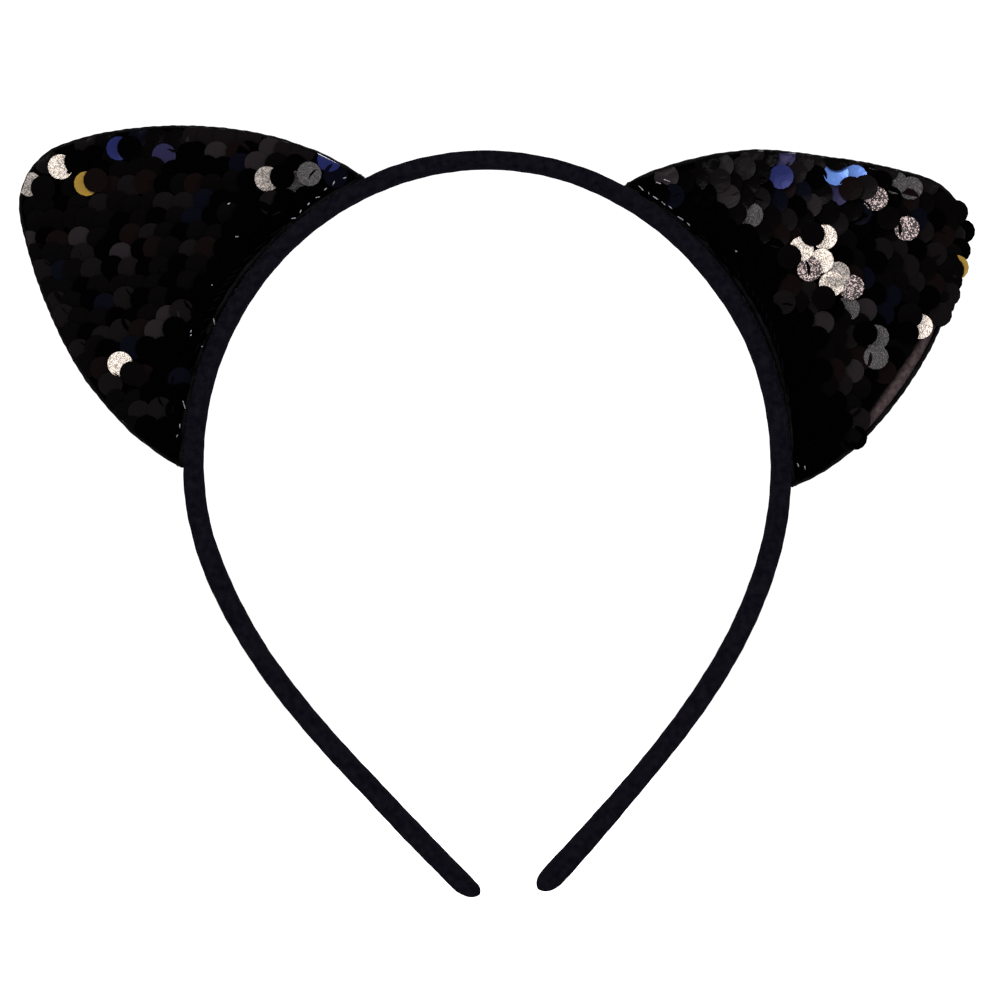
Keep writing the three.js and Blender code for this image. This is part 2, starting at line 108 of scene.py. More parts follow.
def points_of(piece):
    """Places of a piece's points, one in each row."""
    places = np.empty(len(piece.data.vertices) * 3, np.float32)
    piece.data.vertices.foreach_get("co", places)
    return places.reshape(-1, 3)


def make_piece(name, points, faces, finish, sharp=None):
    """A smooth mesh object at the origin from an (n, 3) array and a list of face arrays."""
    mesh = bpy.data.meshes.new(name)
    corners = np.concatenate([np.asarray(f).ravel() for f in faces]).astype(np.int32)
    totals = np.concatenate([np.full(len(f), np.shape(f)[1]) for f in faces]).astype(np.int32)
    starts = np.concatenate([[0], np.cumsum(totals)[:-1]]).astype(np.int32)
    mesh.vertices.add(len(points))
    mesh.vertices.foreach_set("co", np.asarray(points, np.float32).ravel())
    mesh.loops.add(len(corners))
    mesh.loops.foreach_set("vertex_index", corners)
    mesh.polygons.add(len(totals))
    mesh.polygons.foreach_set("loop_start", starts)
    mesh.polygons.foreach_set("loop_total", totals)
    mesh.update(calc_edges=True)
    mesh.validate()
    mesh.polygons.foreach_set("use_smooth", np.ones(len(mesh.polygons), bool))
    if sharp is not None:
        mesh.set_sharp_from_angle(angle=math.radians(sharp))
    for material in finish if isinstance(finish, (list, tuple)) else [finish]:
        mesh.materials.append(material)
    piece = bpy.data.objects.new(name, mesh)
    bpy.context.scene.collection.objects.link(piece)
    print(name, "points", len(points), "faces", len(totals))
    return piece


def put_uv(piece, values):
    """A UV map in metres from one (u, v) pair per point."""
    mesh = piece.data
    index = np.empty(len(mesh.loops), np.int32)
    mesh.loops.foreach_get("vertex_index", index)
    layer = mesh.uv_layers.new(name="metres")
    layer.uv.foreach_set("vector", np.asarray(values, np.float32)[index].ravel())


# %% [markdown]
# ## Finishes
# All colours come from procedural nodes. One helper makes a plain shader with its fixed
# numbers on its own sockets; others add the fine relief of a weave, a knit or pressed film.

# %% Material helpers
def new_finish(name, colour, roughness, **sockets):
    """A material with these values on the shader's own sockets."""
    material = bpy.data.materials.new(name)
    material.use_nodes = True
    shader = material.node_tree.nodes["Principled BSDF"]
    shader.inputs["Base Color"].default_value = (*colour, 1)
    shader.inputs["Roughness"].default_value = roughness
    for socket, value in sockets.items():
        shader.inputs[socket.replace("_", " ")].default_value = value
    return material


def add(material, kind, inputs=None, **settings):
    """One more node in a material."""
    node = material.node_tree.nodes.new(kind)
    for key, value in settings.items():
        setattr(node, key, value)
    for key, value in (inputs or {}).items():
        node.inputs[key].default_value = value
    return node


def wire(material, *links):
    """Join (node, output) to (node, input) pairs."""
    for source, output, target, socket in links:
        material.node_tree.links.new(source.outputs[output], target.inputs[socket])


def shader_of(material):
    return material.node_tree.nodes["Principled BSDF"]


def texture(material, kind, inputs, output="Object", **settings):
    """A texture node read at the object's own coordinates, or at its UV map's."""
    node = add(material, kind, inputs, **settings)
    wire(material, (add(material, "ShaderNodeTexCoord"), output, node, "Vector"))
    return node


def mottle(material, dark, light, scale, detail=3.0):
    """Base colour wandering between two colours with soft noise of this scale per metre."""
    noise = texture(material, "ShaderNodeTexNoise", {"Scale": scale, "Detail": detail})
    ramp = add(material, "ShaderNodeValToRGB")
    for element, position, colour in zip(ramp.color_ramp.elements, (0.3, 0.7), (dark, light)):
        element.position, element.color = position, (*colour, 1)
    wire(material, (noise, "Fac", ramp, "Fac"), (ramp, "Color", shader_of(material), "Base Color"))


def relief(material, node, output, distance, strength=1.0):
    """Bump from a node's output, this deep in metres, on top of any bump already there."""
    bump = add(material, "ShaderNodeBump", {"Strength": strength, "Distance": distance})
    old = shader_of(material).inputs["Normal"].links
    if old:
        wire(material, (old[0].from_node, "Normal", bump, "Normal"))
    wire(material, (node, output, bump, "Height"), (bump, "Normal", shader_of(material), "Normal"))


def grain(material, scale, distance, strength):
    """Fine grain all over, in relief."""
    noise = texture(material, "ShaderNodeTexNoise", {"Scale": scale})
    relief(material, noise, "Fac", distance, strength)


def knit_loops(material, scale, distance, strength):
    """The small rounded loops of a knit, in relief."""
    loops = texture(material, "ShaderNodeTexVoronoi", {"Scale": scale})
    relief(material, loops, "Distance", distance, strength)


# %% [markdown]
# The hoop's cover is a matt black satin with a faint violet cast. Its threads run round the
# strip, too fine to see singly, so they are crossed waves on the cover's own UV map, over a
# soft mottling where the cloth is glued down more or less firmly.

# %% Hoop cover satin
cover_satin = new_finish("hoop_cover_satin", (0.003, 0.003, 0.005), 0.75,
                         Specular_IOR_Level=0.0, Sheen_Weight=0.004, Sheen_Roughness=0.6)
shader_of(cover_satin).inputs["Sheen Tint"].default_value = (0.6, 0.55, 0.75, 1)
mottle(cover_satin, (0.0012, 0.0010, 0.0021), (0.0036, 0.0031, 0.0048), 700, 6.0)
for scale, direction in ((2200, "X"), (1500, "Y")):
    threads = texture(cover_satin, "ShaderNodeTexWave",
                      {"Scale": scale, "Distortion": 1.5, "Detail": 1.0}, "UV",
                      wave_type="BANDS", bands_direction=direction)
    relief(cover_satin, threads, "Fac", 0.00003, 0.6)
nap = texture(cover_satin, "ShaderNodeTexNoise", {"Scale": 900, "Detail": 3.0})
relief(cover_satin, nap, "Fac", 0.00012, 0.7)

# %% [markdown]
# The ears' pocket is a brownish-black knit, matt, with small loops. Outside the worn strip it is
# painted near black, as painted shade under and between the sequins. Felt and thread are plainer
# still.

# %% Knit, thread and hidden materials
ear_knit = new_finish("ear_knit", (0.03, 0.025, 0.024), 0.9, Specular_IOR_Level=0.0)
mottle(ear_knit, (0.015, 0.010, 0.011), (0.044, 0.032, 0.033), 900, 6.0)
worn = add(ear_knit, "ShaderNodeAttribute", attribute_name="worn")
# where the worn attribute is 0 the knit takes colour A, a painted near-black shade under and
# between the sequins
painted_shade_mix = add(ear_knit, "ShaderNodeMix", data_type="RGBA")
painted_shade_mix.inputs["A"].default_value = (0.0004, 0.0003, 0.0004, 1)
mottled = shader_of(ear_knit).inputs["Base Color"].links[0].from_node
wire(ear_knit, (worn, "Fac", painted_shade_mix, "Factor"), (mottled, "Color", painted_shade_mix, "B"),
     (painted_shade_mix, "Result", shader_of(ear_knit), "Base Color"))
knit_loops(ear_knit, 1700, 0.00012, 0.8)

rim_knit = new_finish("rim_knit", (0.001, 0.001, 0.001), 0.5, Specular_IOR_Level=0.01)
mottle(rim_knit, (0.0003, 0.0003, 0.0004), (0.0026, 0.0022, 0.0028), 300, 4.0)
knit_loops(rim_knit, 2200, 0.00006, 0.6)

sewing_thread = new_finish("sewing_thread", (0.0008, 0.0008, 0.001), 0.5,
                           Specular_IOR_Level=0.008)
mottle(sewing_thread, (0.0002, 0.0002, 0.0003), (0.0022, 0.0020, 0.0026), 2500)

hoop_plastic = new_finish("hoop_plastic", (0.02, 0.02, 0.021), 0.45)
grain(hoop_plastic, 3000, 0.00002, 0.4)

drawn_wire = new_finish("drawn_wire", (0.45, 0.45, 0.46), 0.35, Metallic=1.0)
grain(drawn_wire, 4000, 0.00002, 0.4)

dried_glue = new_finish("dried_glue", (0.0006, 0.0006, 0.0009), 0.1, Specular_IOR_Level=0.04)
lumps = texture(dried_glue, "ShaderNodeTexNoise", {"Scale": 1300, "Detail": 3.0})
relief(dried_glue, lumps, "Fac", 0.0004, 1.0)

# Glue drops: the gloss is the glue's own, and the pale mottled colour is a painted glint.
glint_glue_drop = new_finish("glint_glue_drop", (0.1, 0.1, 0.13), 0.15, Specular_IOR_Level=0.5)
mottle(glint_glue_drop, (0.002, 0.002, 0.006), (0.26, 0.25, 0.29), 4200)

# %% [markdown]
# A sequin is a disc of pressed polyester film. Most show their black side. A few have been
# brushed over to their bright side, and some are glitter-coated, blue, violet or gold.
# Handling gives each finish a slightly different gloss, so the dark discs share six finishes,
# which come first in the list.

# %% Sequin finishes
def sequin_film(name, colour, roughness, crease, **sockets):
    """Film with soft creases pressed into it."""
    film = new_finish(name, colour, roughness, **sockets)
    waves = texture(film, "ShaderNodeTexNoise", {"Scale": 420, "Detail": 2.5})
    relief(film, waves, "Fac", crease, 1.0)
    return film


def glitter_film(name, dark, light, share, metallic):
    """Film with grains: each Voronoi cell is bright or dark by its own random number."""
    film = new_finish(name, light, 0.35, Metallic=metallic)
    grains = texture(film, "ShaderNodeTexVoronoi", {"Scale": 4400})
    ramp = add(film, "ShaderNodeValToRGB")
    ramp.color_ramp.interpolation = "CONSTANT"
    ramp.color_ramp.elements[0].color = (*dark, 1)
    ramp.color_ramp.elements[1].position = share
    ramp.color_ramp.elements[1].color = (*light, 1)
    split = add(film, "ShaderNodeSeparateColor")
    wire(film, (grains, "Color", split, "Color"), (split, "Red", ramp, "Fac"),
         (ramp, "Color", shader_of(film), "Base Color"))
    relief(film, grains, "Distance", 0.0002, 0.9)
    return film


FILMS = {
    "black": sequin_film("black_film", (0.0006, 0.0004, 0.0005), 0.20, 0.00014,
                         Specular_IOR_Level=0.008),
    # the darkest film, dealt at random, and near the hoop as painted shade
    "dull": sequin_film("dull_black_film", (0.00012, 0.0001, 0.00016), 0.4, 0.0002,
                        Specular_IOR_Level=0.002),
    "charcoal": sequin_film("charcoal_film", (0.0021, 0.0015, 0.0018), 0.28, 0.00015,
                            Specular_IOR_Level=0.014),
    "brown": sequin_film("brown_black_film", (0.0020, 0.0010, 0.0011), 0.32, 0.00014,
                         Specular_IOR_Level=0.007),
    "ink": sequin_film("ink_blue_film", (0.0007, 0.0007, 0.0022), 0.26, 0.00014,
                       Specular_IOR_Level=0.010),
    "grey": sequin_film("grey_film", (0.0062, 0.0048, 0.0056), 0.32, 0.00015,
                        Specular_IOR_Level=0.026),
    "silver": glitter_film("silver_film", (0.27, 0.225, 0.19), (0.60, 0.53, 0.47), 0.42, 0.5),
    "pale": glitter_film("pale_silver_film", (0.09, 0.075, 0.068), (0.24, 0.21, 0.19), 0.45, 0.4),
    "blue": sequin_film("blue_film", (0.045, 0.100, 0.29), 0.3, 0.0001, Metallic=0.5),
    "deep_blue": sequin_film("deep_blue_film", (0.004, 0.006, 0.042), 0.3, 0.0001,
                             Metallic=0.3, Specular_IOR_Level=0.1),
    "violet": sequin_film("violet_film", (0.007, 0.0055, 0.024), 0.35, 0.0001,
                          Metallic=0.3, Specular_IOR_Level=0.1),
    "gold": sequin_film("gold_film", (0.17, 0.10, 0.007), 0.35, 0.0001, Metallic=0.6),
    "glitter": glitter_film("glitter_film", (0.014, 0.008, 0.009), (0.38, 0.29, 0.28), 0.7, 0.3),
    "dark_glitter": glitter_film("dark_glitter_film", (0.003, 0.002, 0.0025),
                                 (0.034, 0.025, 0.025), 0.82, 0.2),
}
FILM_NUMBER = {kind: number for number, kind in enumerate(FILMS)}
DARK_FILMS = 6
print("films", list(FILMS))

# %% [markdown]
# ## The hoop
# Seen from the front the hoop is the upper part of an ellipse, and each leg leans in from it
# to its tip in one smooth curve. The same lengths drive the CAD strip inside.

# %% Hoop's middle line
HOOP_HALF_WIDTH, HOOP_RISE = 61.7 * MM, 64.3 * MM
STRIP_HALF_WIDTH = 4.0 * MM
THICK_TOP, THICK_SIDE = 3.2 * MM, 3.7 * MM
HOOP_CENTRE = -(HOOP_RISE - THICK_TOP / 2)
HINGE_DROP = math.radians(8)
LEGS = {
    "left": (-1, (-3.2, -151.3), (27.6, 28.5), math.radians(46)),
    "right": (1, (12.0, -150.3), (32.2, 31.9), math.radians(42)),
}


def eccentric(normal):
    """Eccentric angle of the ellipse where its outward normal stands at this angle."""
    return np.arctan2(HOOP_RISE * np.sin(normal), HOOP_HALF_WIDTH * np.cos(normal))


def hoop_line(name):
    """Half of the hoop's middle line from the crown's top to a tip: an ellipse down to the
    hinge, then a cubic curve. Returns distance, place (x, z), direction, outward normal."""
    side, tip, reach, lean = LEGS[name]
    angle = np.linspace(np.pi / 2, eccentric(-HINGE_DROP), 900)
    crown = np.c_[side * HOOP_HALF_WIDTH * np.cos(angle),
                  HOOP_CENTRE + HOOP_RISE * np.sin(angle)]
    start, end = crown[-1], np.array(tip) * MM
    down = np.array([-side * math.sin(HINGE_DROP), -math.cos(HINGE_DROP)])
    inwards = np.array([-side * math.sin(lean), -math.cos(lean)])
    t = np.linspace(0, 1, 900)[1:, None]
    leg = ((1 - t) ** 3 * start + 3 * (1 - t) ** 2 * t * (start + down * reach[0] * MM)
           + 3 * (1 - t) * t ** 2 * (end - inwards * reach[1] * MM) + t ** 3 * end)
    line = np.vstack([crown, leg])
    distance = np.r_[0, np.cumsum(np.linalg.norm(np.diff(line, axis=0), axis=1))]
    along = unit(np.gradient(line, distance, axis=0))
    normal = side * np.c_[-along[:, 1], along[:, 0]]
    return distance, line, along, normal, distance[len(crown) - 1]


def sample(distance, table, at):
    """Columns of a table at new distances, by straight interpolation."""
    return np.stack([np.interp(at, distance, column) for column in table.T], -1)


# %% [markdown]
# The cover is a tube of satin pulled over the strip, glued down and slip-stitched along the
# inside. It could be a bevelled curve, but a section carried along the line gives control of
# the ends: a flat oval with full corners, a low ridge inside where the edges lap, and tips
# that are folded over, with a large round outside and a small one inside. The hoop is made
# as two halves that meet at the crown's top.

# %% Hoop covers
SECTION_POWER = 4.0
AROUND = 56
BEND_REACH = 8 * MM   # points this far either side of the hinge are worked out but not used
TIP_FOLD, TIP_FOLD_LENGTH = 0.05 * MM, 9 * MM
# how far the satin stands off the strip, outside and inside: (distance from the top, mm);
# under the ears the glue holds it close
COVER_SLACK = {
    "left": ([(0, 0.58), (20, 0.52), (28, 0.2), (36, 0.1), (92, 0.05), (104, 0.12),
              (112, -0.15), (128, 0.0), (148, 0.3), (164, 0.2), (178, 0.05), (192, 0.4),
              (210, 0.6)],
             [(0, 0.0), (24, 0.1), (48, 0.0), (80, 0.02), (96, 0.2), (108, 0.5), (120, 0.75),
              (130, 0.55), (142, 0.2), (160, 0.25), (178, 0.45), (192, 0.22), (202, -0.1),
              (210, -0.35)]),
    "right": ([(0, 0.58), (8, 0.45), (24, 0.35), (31, 0.15), (38, 0.08), (96, 0.08),
               (104, 0.3), (112, 0.4), (128, 0.2), (150, 0.1), (168, 0.05), (176, 0.15),
               (184, 0.4), (192, 0.62), (204, 0.6)],
              [(0, 0.0), (16, 0.05), (28, 0.3), (56, 0.4), (72, 0.0), (96, 0.2), (112, 0.2),
               (128, 0.35), (150, 0.4), (176, 0.3), (192, 0.32), (204, 0.35)]),
}
# each tip: how far it runs past the strip, and the length and depth of its outer and inner round
TIP_SHAPES = {
    "left": (1.8, (5.0, 3.2), (1.7, 1.05)),
    "right": (1.4, (4.5, 3.2), (3.2, 1.8)),
}


def smooth(x, low, high):
    """0 before low, 1 after high, with an S-shaped rise between."""
    t = np.clip((x - low) / (high - low), 0, 1)
    return t * t * (3 - 2 * t)


def cover_half(name):
    """Rings round the middle line. A ring at distance s and angle a lies at
    normal * (centre + reach * c(a)) and y = width * s(a), where c and s are cosine and sine
    raised to 2/power, which squares the oval. Near the tip reach and width follow circles."""
    distance, line, along, normal, hinge = hoop_line(name)
    past, outer_round, inner_round = TIP_SHAPES[name]
    total = distance[-1] + past * MM
    s = np.r_[np.arange(0, total - 6 * MM, 0.75 * MM),
              total - 6 * MM * (1 - np.sin(np.linspace(0, np.pi / 2, 30)))]
    beyond = np.maximum(s - distance[-1], 0)[:, None] * along[-1]
    place, out = sample(distance, line, s) + beyond, unit(sample(distance, normal, s))
    sideways = np.where(s < hinge, out[:, 0] ** 2, math.cos(HINGE_DROP) ** 2)
    half = (THICK_TOP + (THICK_SIDE - THICK_TOP) * sideways) / 2
    left = total - s
    fold = TIP_FOLD * smooth(-left, -TIP_FOLD_LENGTH - 0.5 * MM, -TIP_FOLD_LENGTH + 0.4 * MM)
    half = half + fold + 0.03 * MM * np.exp(-((left - TIP_FOLD_LENGTH) / (0.7 * MM)) ** 2)

    def rounded(length, depth):
        """What a round of this length and depth takes off, by its quarter ellipse."""
        x = np.clip(length * MM - left, 0, length * MM) / (length * MM)
        return depth * MM * (1 - np.sqrt(np.maximum(1 - x ** 2, 0)))
    slack_out, slack_in = (np.interp(s / MM, *zip(*table)) * MM for table in COVER_SLACK[name])
    outer = half + slack_out - rounded(*outer_round)
    inner = -half - slack_in + rounded(*inner_round)
    width = STRIP_HALF_WIDTH + fold - rounded(3.0, 2.1)
    centre, reach = (outer + inner) / 2, (outer - inner) / 2

    a = np.linspace(0, 2 * np.pi, AROUND, endpoint=False)
    c = np.sign(np.cos(a)) * np.abs(np.cos(a)) ** (2 / SECTION_POWER)
    d = np.sign(np.sin(a)) * np.abs(np.sin(a)) ** (2 / SECTION_POWER)
    y = width[:, None] * d
    off = centre[:, None] + reach[:, None] * c
    # the lapped edges inside, and cloth that isn't glued down evenly
    lap = 0.14 * MM * smooth(-c, 0.7, 0.95) * np.exp(-(y / (0.75 * MM)) ** 4)
    run = 2 * np.pi * s[:, None] / MM
    pucker = 0.03 * MM * (np.sin(run / 7.3 + 2.1 * np.cos(a)) + 0.7 * np.sin(run / 3.1 + 3 * a))
    quiet = smooth(s, 1 * MM, 6 * MM) * smooth(left, 1 * MM, 3 * MM)
    off = off - lap * quiet[:, None] + pucker * quiet[:, None]
    rings = np.stack([place[:, :1] + out[:, :1] * off, y, place[:, 1:] + out[:, 1:] * off], -1)
    points = np.vstack([rings.reshape(-1, 3), rings[0].mean(0), rings[-1].mean(0)])
    faces = closed_faces(len(s), AROUND)
    if LEGS[name][0] < 0:
        faces = [block[:, ::-1] for block in faces]
    girth = np.r_[np.tile(a * 3.2 * MM, len(s)), 0, 0]
    run = np.r_[np.repeat(s, AROUND), 0, total]
    return points, faces, np.c_[run, girth], hinge, distance, line, total


for name in LEGS:
    points, faces, uv_map, hinge, distance, line, total = cover_half(name)
    cover = make_piece(f"hoop_cover_{name}", points, faces, cover_satin, sharp=60)
    put_uv(cover, uv_map)
    bend = sample(distance, line, np.array([hinge - BEND_REACH, hinge + BEND_REACH]))
    start, end = [(p[0], 0, p[1]) for p in bend]
    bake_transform(cover)
    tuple(start)
    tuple(end)
    print(name, "half of the hoop is", round(total / MM, 1), "mm long")
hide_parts("crown_sleeve", "left_leg_sleeve", "left_tip_cover")
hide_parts("right_leg_sleeve", "right_tip_cover")

# %% [markdown]
# ## The ears
# Each ear is worked out in its own directions: u runs across it, v up it from the hoop, and
# w out of its front face. The hinge in the frame says where they lie. The outline is the
# hoop's outer surface below, two wide arcs at the sides and a small one at the tip; it is
# kept as the distance from the ear's middle in every direction.

# %% Ear outlines
EAR_MIDDLE = np.array([0, 17.0]) * MM
SIDE_CENTRE, SIDE_RADIUS = np.array([49.54, -18.47]) * MM, 87 * MM
TIP_CENTRE, TIP_RADIUS = np.array([0, 36.5]) * MM, 13 * MM
FOOT_GAP = 0.15 * MM
DIRECTIONS = np.linspace(-np.pi, np.pi, 1441)
# hand-cut edges: (direction in degrees, how far out in mm) from the drawn outline
EDGE_ADJUST = {
    "left": [(-180, 1.0), (-158, 0.5), (-150, -0.4), (-143, -1.2), (-90, 0), (-36, -0.8),
             (-26, 0.4), (-12, 1.1), (0, 1.2), (40, 1.3), (62, 1.4), (90, 0.8), (120, 0.5),
             (150, 0.6)],
    "right": [(-180, 0.5), (-165, 0.6), (-150, 0.3), (-143, -0.2), (-90, 0), (-36, -1.1),
              (-28, 0.3), (-19, 1.1), (0, 1.1), (30, 1.0), (60, 0.3), (90, -0.1),
              (120, -0.7), (150, -0.8), (165, -0.3)],
}


def far_root(origin, direction, centre, radius):
    """Distance along each direction to the far side of a circle."""
    to = origin - centre
    b = direction @ to
    return -b + np.sqrt(np.maximum(b * b - to @ to + radius ** 2, 0))


class Ear:
    """One ear's frame, outline and face heights."""

    def __init__(self, name):
        joint = JOINTS[f"{name}_ear_tilt"]
        self.name = name
        self.seat = np.array(joint["pos_m"])
        self.across = np.array(joint["axis"]) / np.linalg.norm(joint["axis"])
        self.up = np.array([-self.across[2], 0, self.across[0]])
        self.front = np.array([0, -1.0, 0])
        d = np.c_[np.cos(DIRECTIONS), np.sin(DIRECTIONS)]
        sides = np.minimum(
            far_root(EAR_MIDDLE, d, SIDE_CENTRE * [-1, 1], SIDE_RADIUS),
            far_root(EAR_MIDDLE, d, SIDE_CENTRE, SIDE_RADIUS))
        lean = math.atan2(*(TIP_CENTRE - SIDE_CENTRE * [-1, 1])[::-1])
        touch = TIP_CENTRE + TIP_RADIUS * np.array([math.cos(lean), math.sin(lean)])
        touch = math.atan2(*(touch - EAR_MIDDLE)[::-1])
        tip = far_root(EAR_MIDDLE, d, TIP_CENTRE, TIP_RADIUS)
        reach = np.where(np.abs(DIRECTIONS - np.pi / 2) < np.pi / 2 - touch, tip, sides)
        # near root of the ray with the ellipse of the hoop's outer surface, set off by the gap
        axes = np.array([HOOP_HALF_WIDTH + THICK_SIDE / 2, HOOP_RISE + THICK_TOP / 2]) + FOOT_GAP
        origin = (self.place(*EAR_MIDDLE, 0)[[0, 2]] - [0, HOOP_CENTRE]) / axes
        ray = (d[:, :1] * self.across[[0, 2]] + d[:, 1:] * self.up[[0, 2]]) / axes
        a, b, c = (ray ** 2).sum(1), ray @ origin, origin @ origin - 1
        root = (-b - np.sqrt(np.maximum(b * b - a * c, 0))) / a
        meets = (b * b > a * c) & (root > 0) & (root < reach)
        extra = np.interp(np.degrees(DIRECTIONS), *zip(*EDGE_ADJUST[name]), period=360) * MM
        self.reach = np.where(meets, root, reach + extra)
        self.foot = DIRECTIONS[meets]
        self.outline = EAR_MIDDLE + self.reach[:, None] * d

    def place(self, u, v, w):
        """World place of (u, v, w)."""
        u, v, w = np.broadcast_arrays(u, v, w)
        return (self.seat + u[..., None] * self.across + v[..., None] * self.up
                + w[..., None] * self.front)

    def local(self, places):
        """u, v and w of world places."""
        off = places - self.seat
        return off @ self.across, off @ self.up, off @ self.front

    def share(self, u, v):
        """How far out a place lies, as a share of the way from the middle to the outline."""
        angle = np.arctan2(v - EAR_MIDDLE[1], u - EAR_MIDDLE[0])
        return np.hypot(u - EAR_MIDDLE[0], v - EAR_MIDDLE[1]) / np.interp(
            angle, DIRECTIONS, self.reach)

    def at(self, angle, share):
        """(u, v) in a direction from the middle, at a share of the way out."""
        r = share * np.interp(angle, DIRECTIONS, self.reach)
        return EAR_MIDDLE[0] + r * np.cos(angle), EAR_MIDDLE[1] + r * np.sin(angle)

    def off_hoop(self, u, v):
        """Distance from the hoop's outer surface, taken along the line to its centre."""
        p = self.place(u, v, 0)
        x, z = p[..., 0], p[..., 2] - HOOP_CENTRE
        axes = HOOP_HALF_WIDTH + THICK_SIDE / 2, HOOP_RISE + THICK_TOP / 2
        r = np.hypot(x / axes[0], z / axes[1])
        return np.hypot(x, z) * (1 - 1 / r)


EARS = {name: Ear(name) for name in ("left", "right")}
for ear in EARS.values():
    print(ear.name, "ear", np.round(np.ptp(ear.outline, axis=0) / MM, 1), "mm across and high")

# %% [markdown]
# The pocket is knit cloth over thin felt, a soft leaf a few millimetres thick. It is made as
# padded things are made in cloth: a slightly slim closed shape, remeshed evenly, then blown
# up by a cloth simulation with its rim held. It runs at ten times the size, where the cloth
# settings behave well, and the swelling is capped so that the sequins still clear it.

# %% Ear pockets
PAD_RIM, PAD_CROWN = 0.85 * MM, 1.15 * MM
PAD_SCALE = 10
PAD_CAP = 0.45 * MM


def pocket_leaf(ear):
    """Two faces over the outline: at share s and direction a the half thickness is
    (rim + crown (1 - s^2)) times the square root of 1 - s^10, which rounds the edge."""
    share = np.r_[0.04, np.linspace(0.12, 0.88, 12), 0.93, 0.965, 0.985, 0.996, 1.0]
    angle = np.linspace(-np.pi, np.pi, 240, endpoint=False)
    s, a = np.meshgrid(share, angle, indexing="ij")
    hem = 1 - 0.3 * MM / np.interp(a, DIRECTIONS, ear.reach)
    u, v = ear.at(a, s * hem)
    half = (PAD_RIM + PAD_CROWN * (1 - s ** 2)) * np.sqrt(np.maximum(1 - s ** 10, 0))
    front, back = ear.place(u, v, half), ear.place(u, v, -half)[:-1]
    rings = np.concatenate([front, back[::-1]]).reshape(-1, 3)
    middle = np.stack([ear.place(*EAR_MIDDLE, PAD_RIM + PAD_CROWN),
                       ear.place(*EAR_MIDDLE, -PAD_RIM - PAD_CROWN)])
    points = np.vstack([rings, middle])
    quads, *caps = closed_faces(2 * len(share) - 1, angle.size)
    return points, [quads[:, ::-1], *caps]


def swell(piece, ear):
    """Remesh evenly and let cloth pressure fill the piece, rim held, movement capped."""
    bpy.context.view_layer.objects.active = piece
    piece.data.vertices.foreach_set("co", (points_of(piece) * PAD_SCALE).ravel())
    remesh = piece.modifiers.new("even", "REMESH")
    remesh.mode, remesh.voxel_size = "VOXEL", 1.15 * MM * PAD_SCALE
    apply_modifiers(piece)
    mesh, rest = piece.data, points_of(piece)
    u, v, _ = ear.local(rest / PAD_SCALE)
    held = piece.vertex_groups.new(name="rim")
    held.add(np.nonzero(ear.share(u, v) > 0.95)[0].tolist(), 1.0, "REPLACE")
    cloth = piece.modifiers.new("cloth", "CLOTH")
    cloth.settings.use_pressure = True
    cloth.settings.uniform_pressure_force = 4.0
    cloth.settings.effector_weights.gravity = 0
    cloth.settings.vertex_group_mass = "rim"
    cloth.settings.shrink_min = -0.03
    for number in range(1, 21):
        bpy.context.scene.frame_set(number)
    blown = points_of(piece.evaluated_get(bpy.context.evaluated_depsgraph_get()))
    piece.modifiers.remove(cloth)
    bpy.context.scene.frame_set(1)
    move = blown - rest
    length = np.linalg.norm(move, axis=1)[:, None]
    limit = PAD_CAP * PAD_SCALE
    rest = rest + move * (limit * np.tanh(length / limit) / np.maximum(length, 1e-9))
    print(piece.name, "swelled by up to", round(float(length.max()) / PAD_SCALE / MM, 2))
    piece.vertex_groups.clear()
    mesh.vertices.foreach_set("co", (rest / PAD_SCALE).ravel())
    mesh.update()


def apply_modifiers(piece):
    """Put the modifiers' result into the mesh itself."""
    evaluated = piece.evaluated_get(bpy.context.evaluated_depsgraph_get())
    mesh = bpy.data.meshes.new_from_object(evaluated)
    piece.modifiers.clear()
    old, piece.data = piece.data, mesh
    bpy.data.meshes.remove(old)


def worn_strip(name, u, v):
    """1 where the sequins have worn off the right ear's front, along its lower side: a band
    beside a line that slants out as it goes down."""
    if name != "right":
        return np.zeros(np.shape(u))
    down = np.clip((33.5 * MM - v) / (24 * MM), 0, 1)
    line = 19.7 * MM + 12.7 * MM * down
    return (smooth(u, line - 1.5 * MM, line) * smooth(v, 8 * MM, 10 * MM)
            * smooth(-v, -35.5 * MM, -34 * MM))


def mark_worn(ear, pad):
    """A point attribute, 1 where the sequins have worn off the front: there the knit shows its own
    mottled colour, elsewhere it gets painted near-black shade.
    """
    u, v, w = ear.local(points_of(pad))
    worn_mask = worn_strip(ear.name, u, v) * (w > -0.5 * MM)
    layer = pad.data.attributes.new("worn", "FLOAT", "POINT")
    layer.data.foreach_set("value", worn_mask.astype(np.float32))


PADS = {}
for name, ear in EARS.items():
    pad = make_piece(f"{name}_ear_pocket", *pocket_leaf(ear), ear_knit)
    swell(pad, ear)
    finer = pad.modifiers.new("finer", "SUBSURF")
    finer.levels = finer.render_levels = 1
    apply_modifiers(pad)
    pad.data.polygons.foreach_set("use_smooth", np.ones(len(pad.data.polygons), bool))
    mark_worn(ear, pad)
    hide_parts(f"{name}_ear_filler", f"{name}_ear_front_cloth", f"{name}_ear_back_cloth")
    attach(pad, f"{name}_ear")
    PADS[name] = pad
    print(pad.name, "faces", len(pad.data.polygons))

# %% [markdown]
# Sequins rest on the swollen pocket, so its height has to be read back. For any place on the
# ear the nearest points of the pocket's face are averaged, all places at once.

# %% Height of the pocket
def read_heights(ear, pad):
    """(u, v, w) of a pocket's points, split into its front and back face."""
    u, v, w = ear.local(points_of(pad))
    return {1: (u[w > 0], v[w > 0], w[w > 0]), -1: (u[w < 0], v[w < 0], -w[w < 0])}


SKINS = {name: read_heights(EARS[name], PADS[name]) for name in EARS}


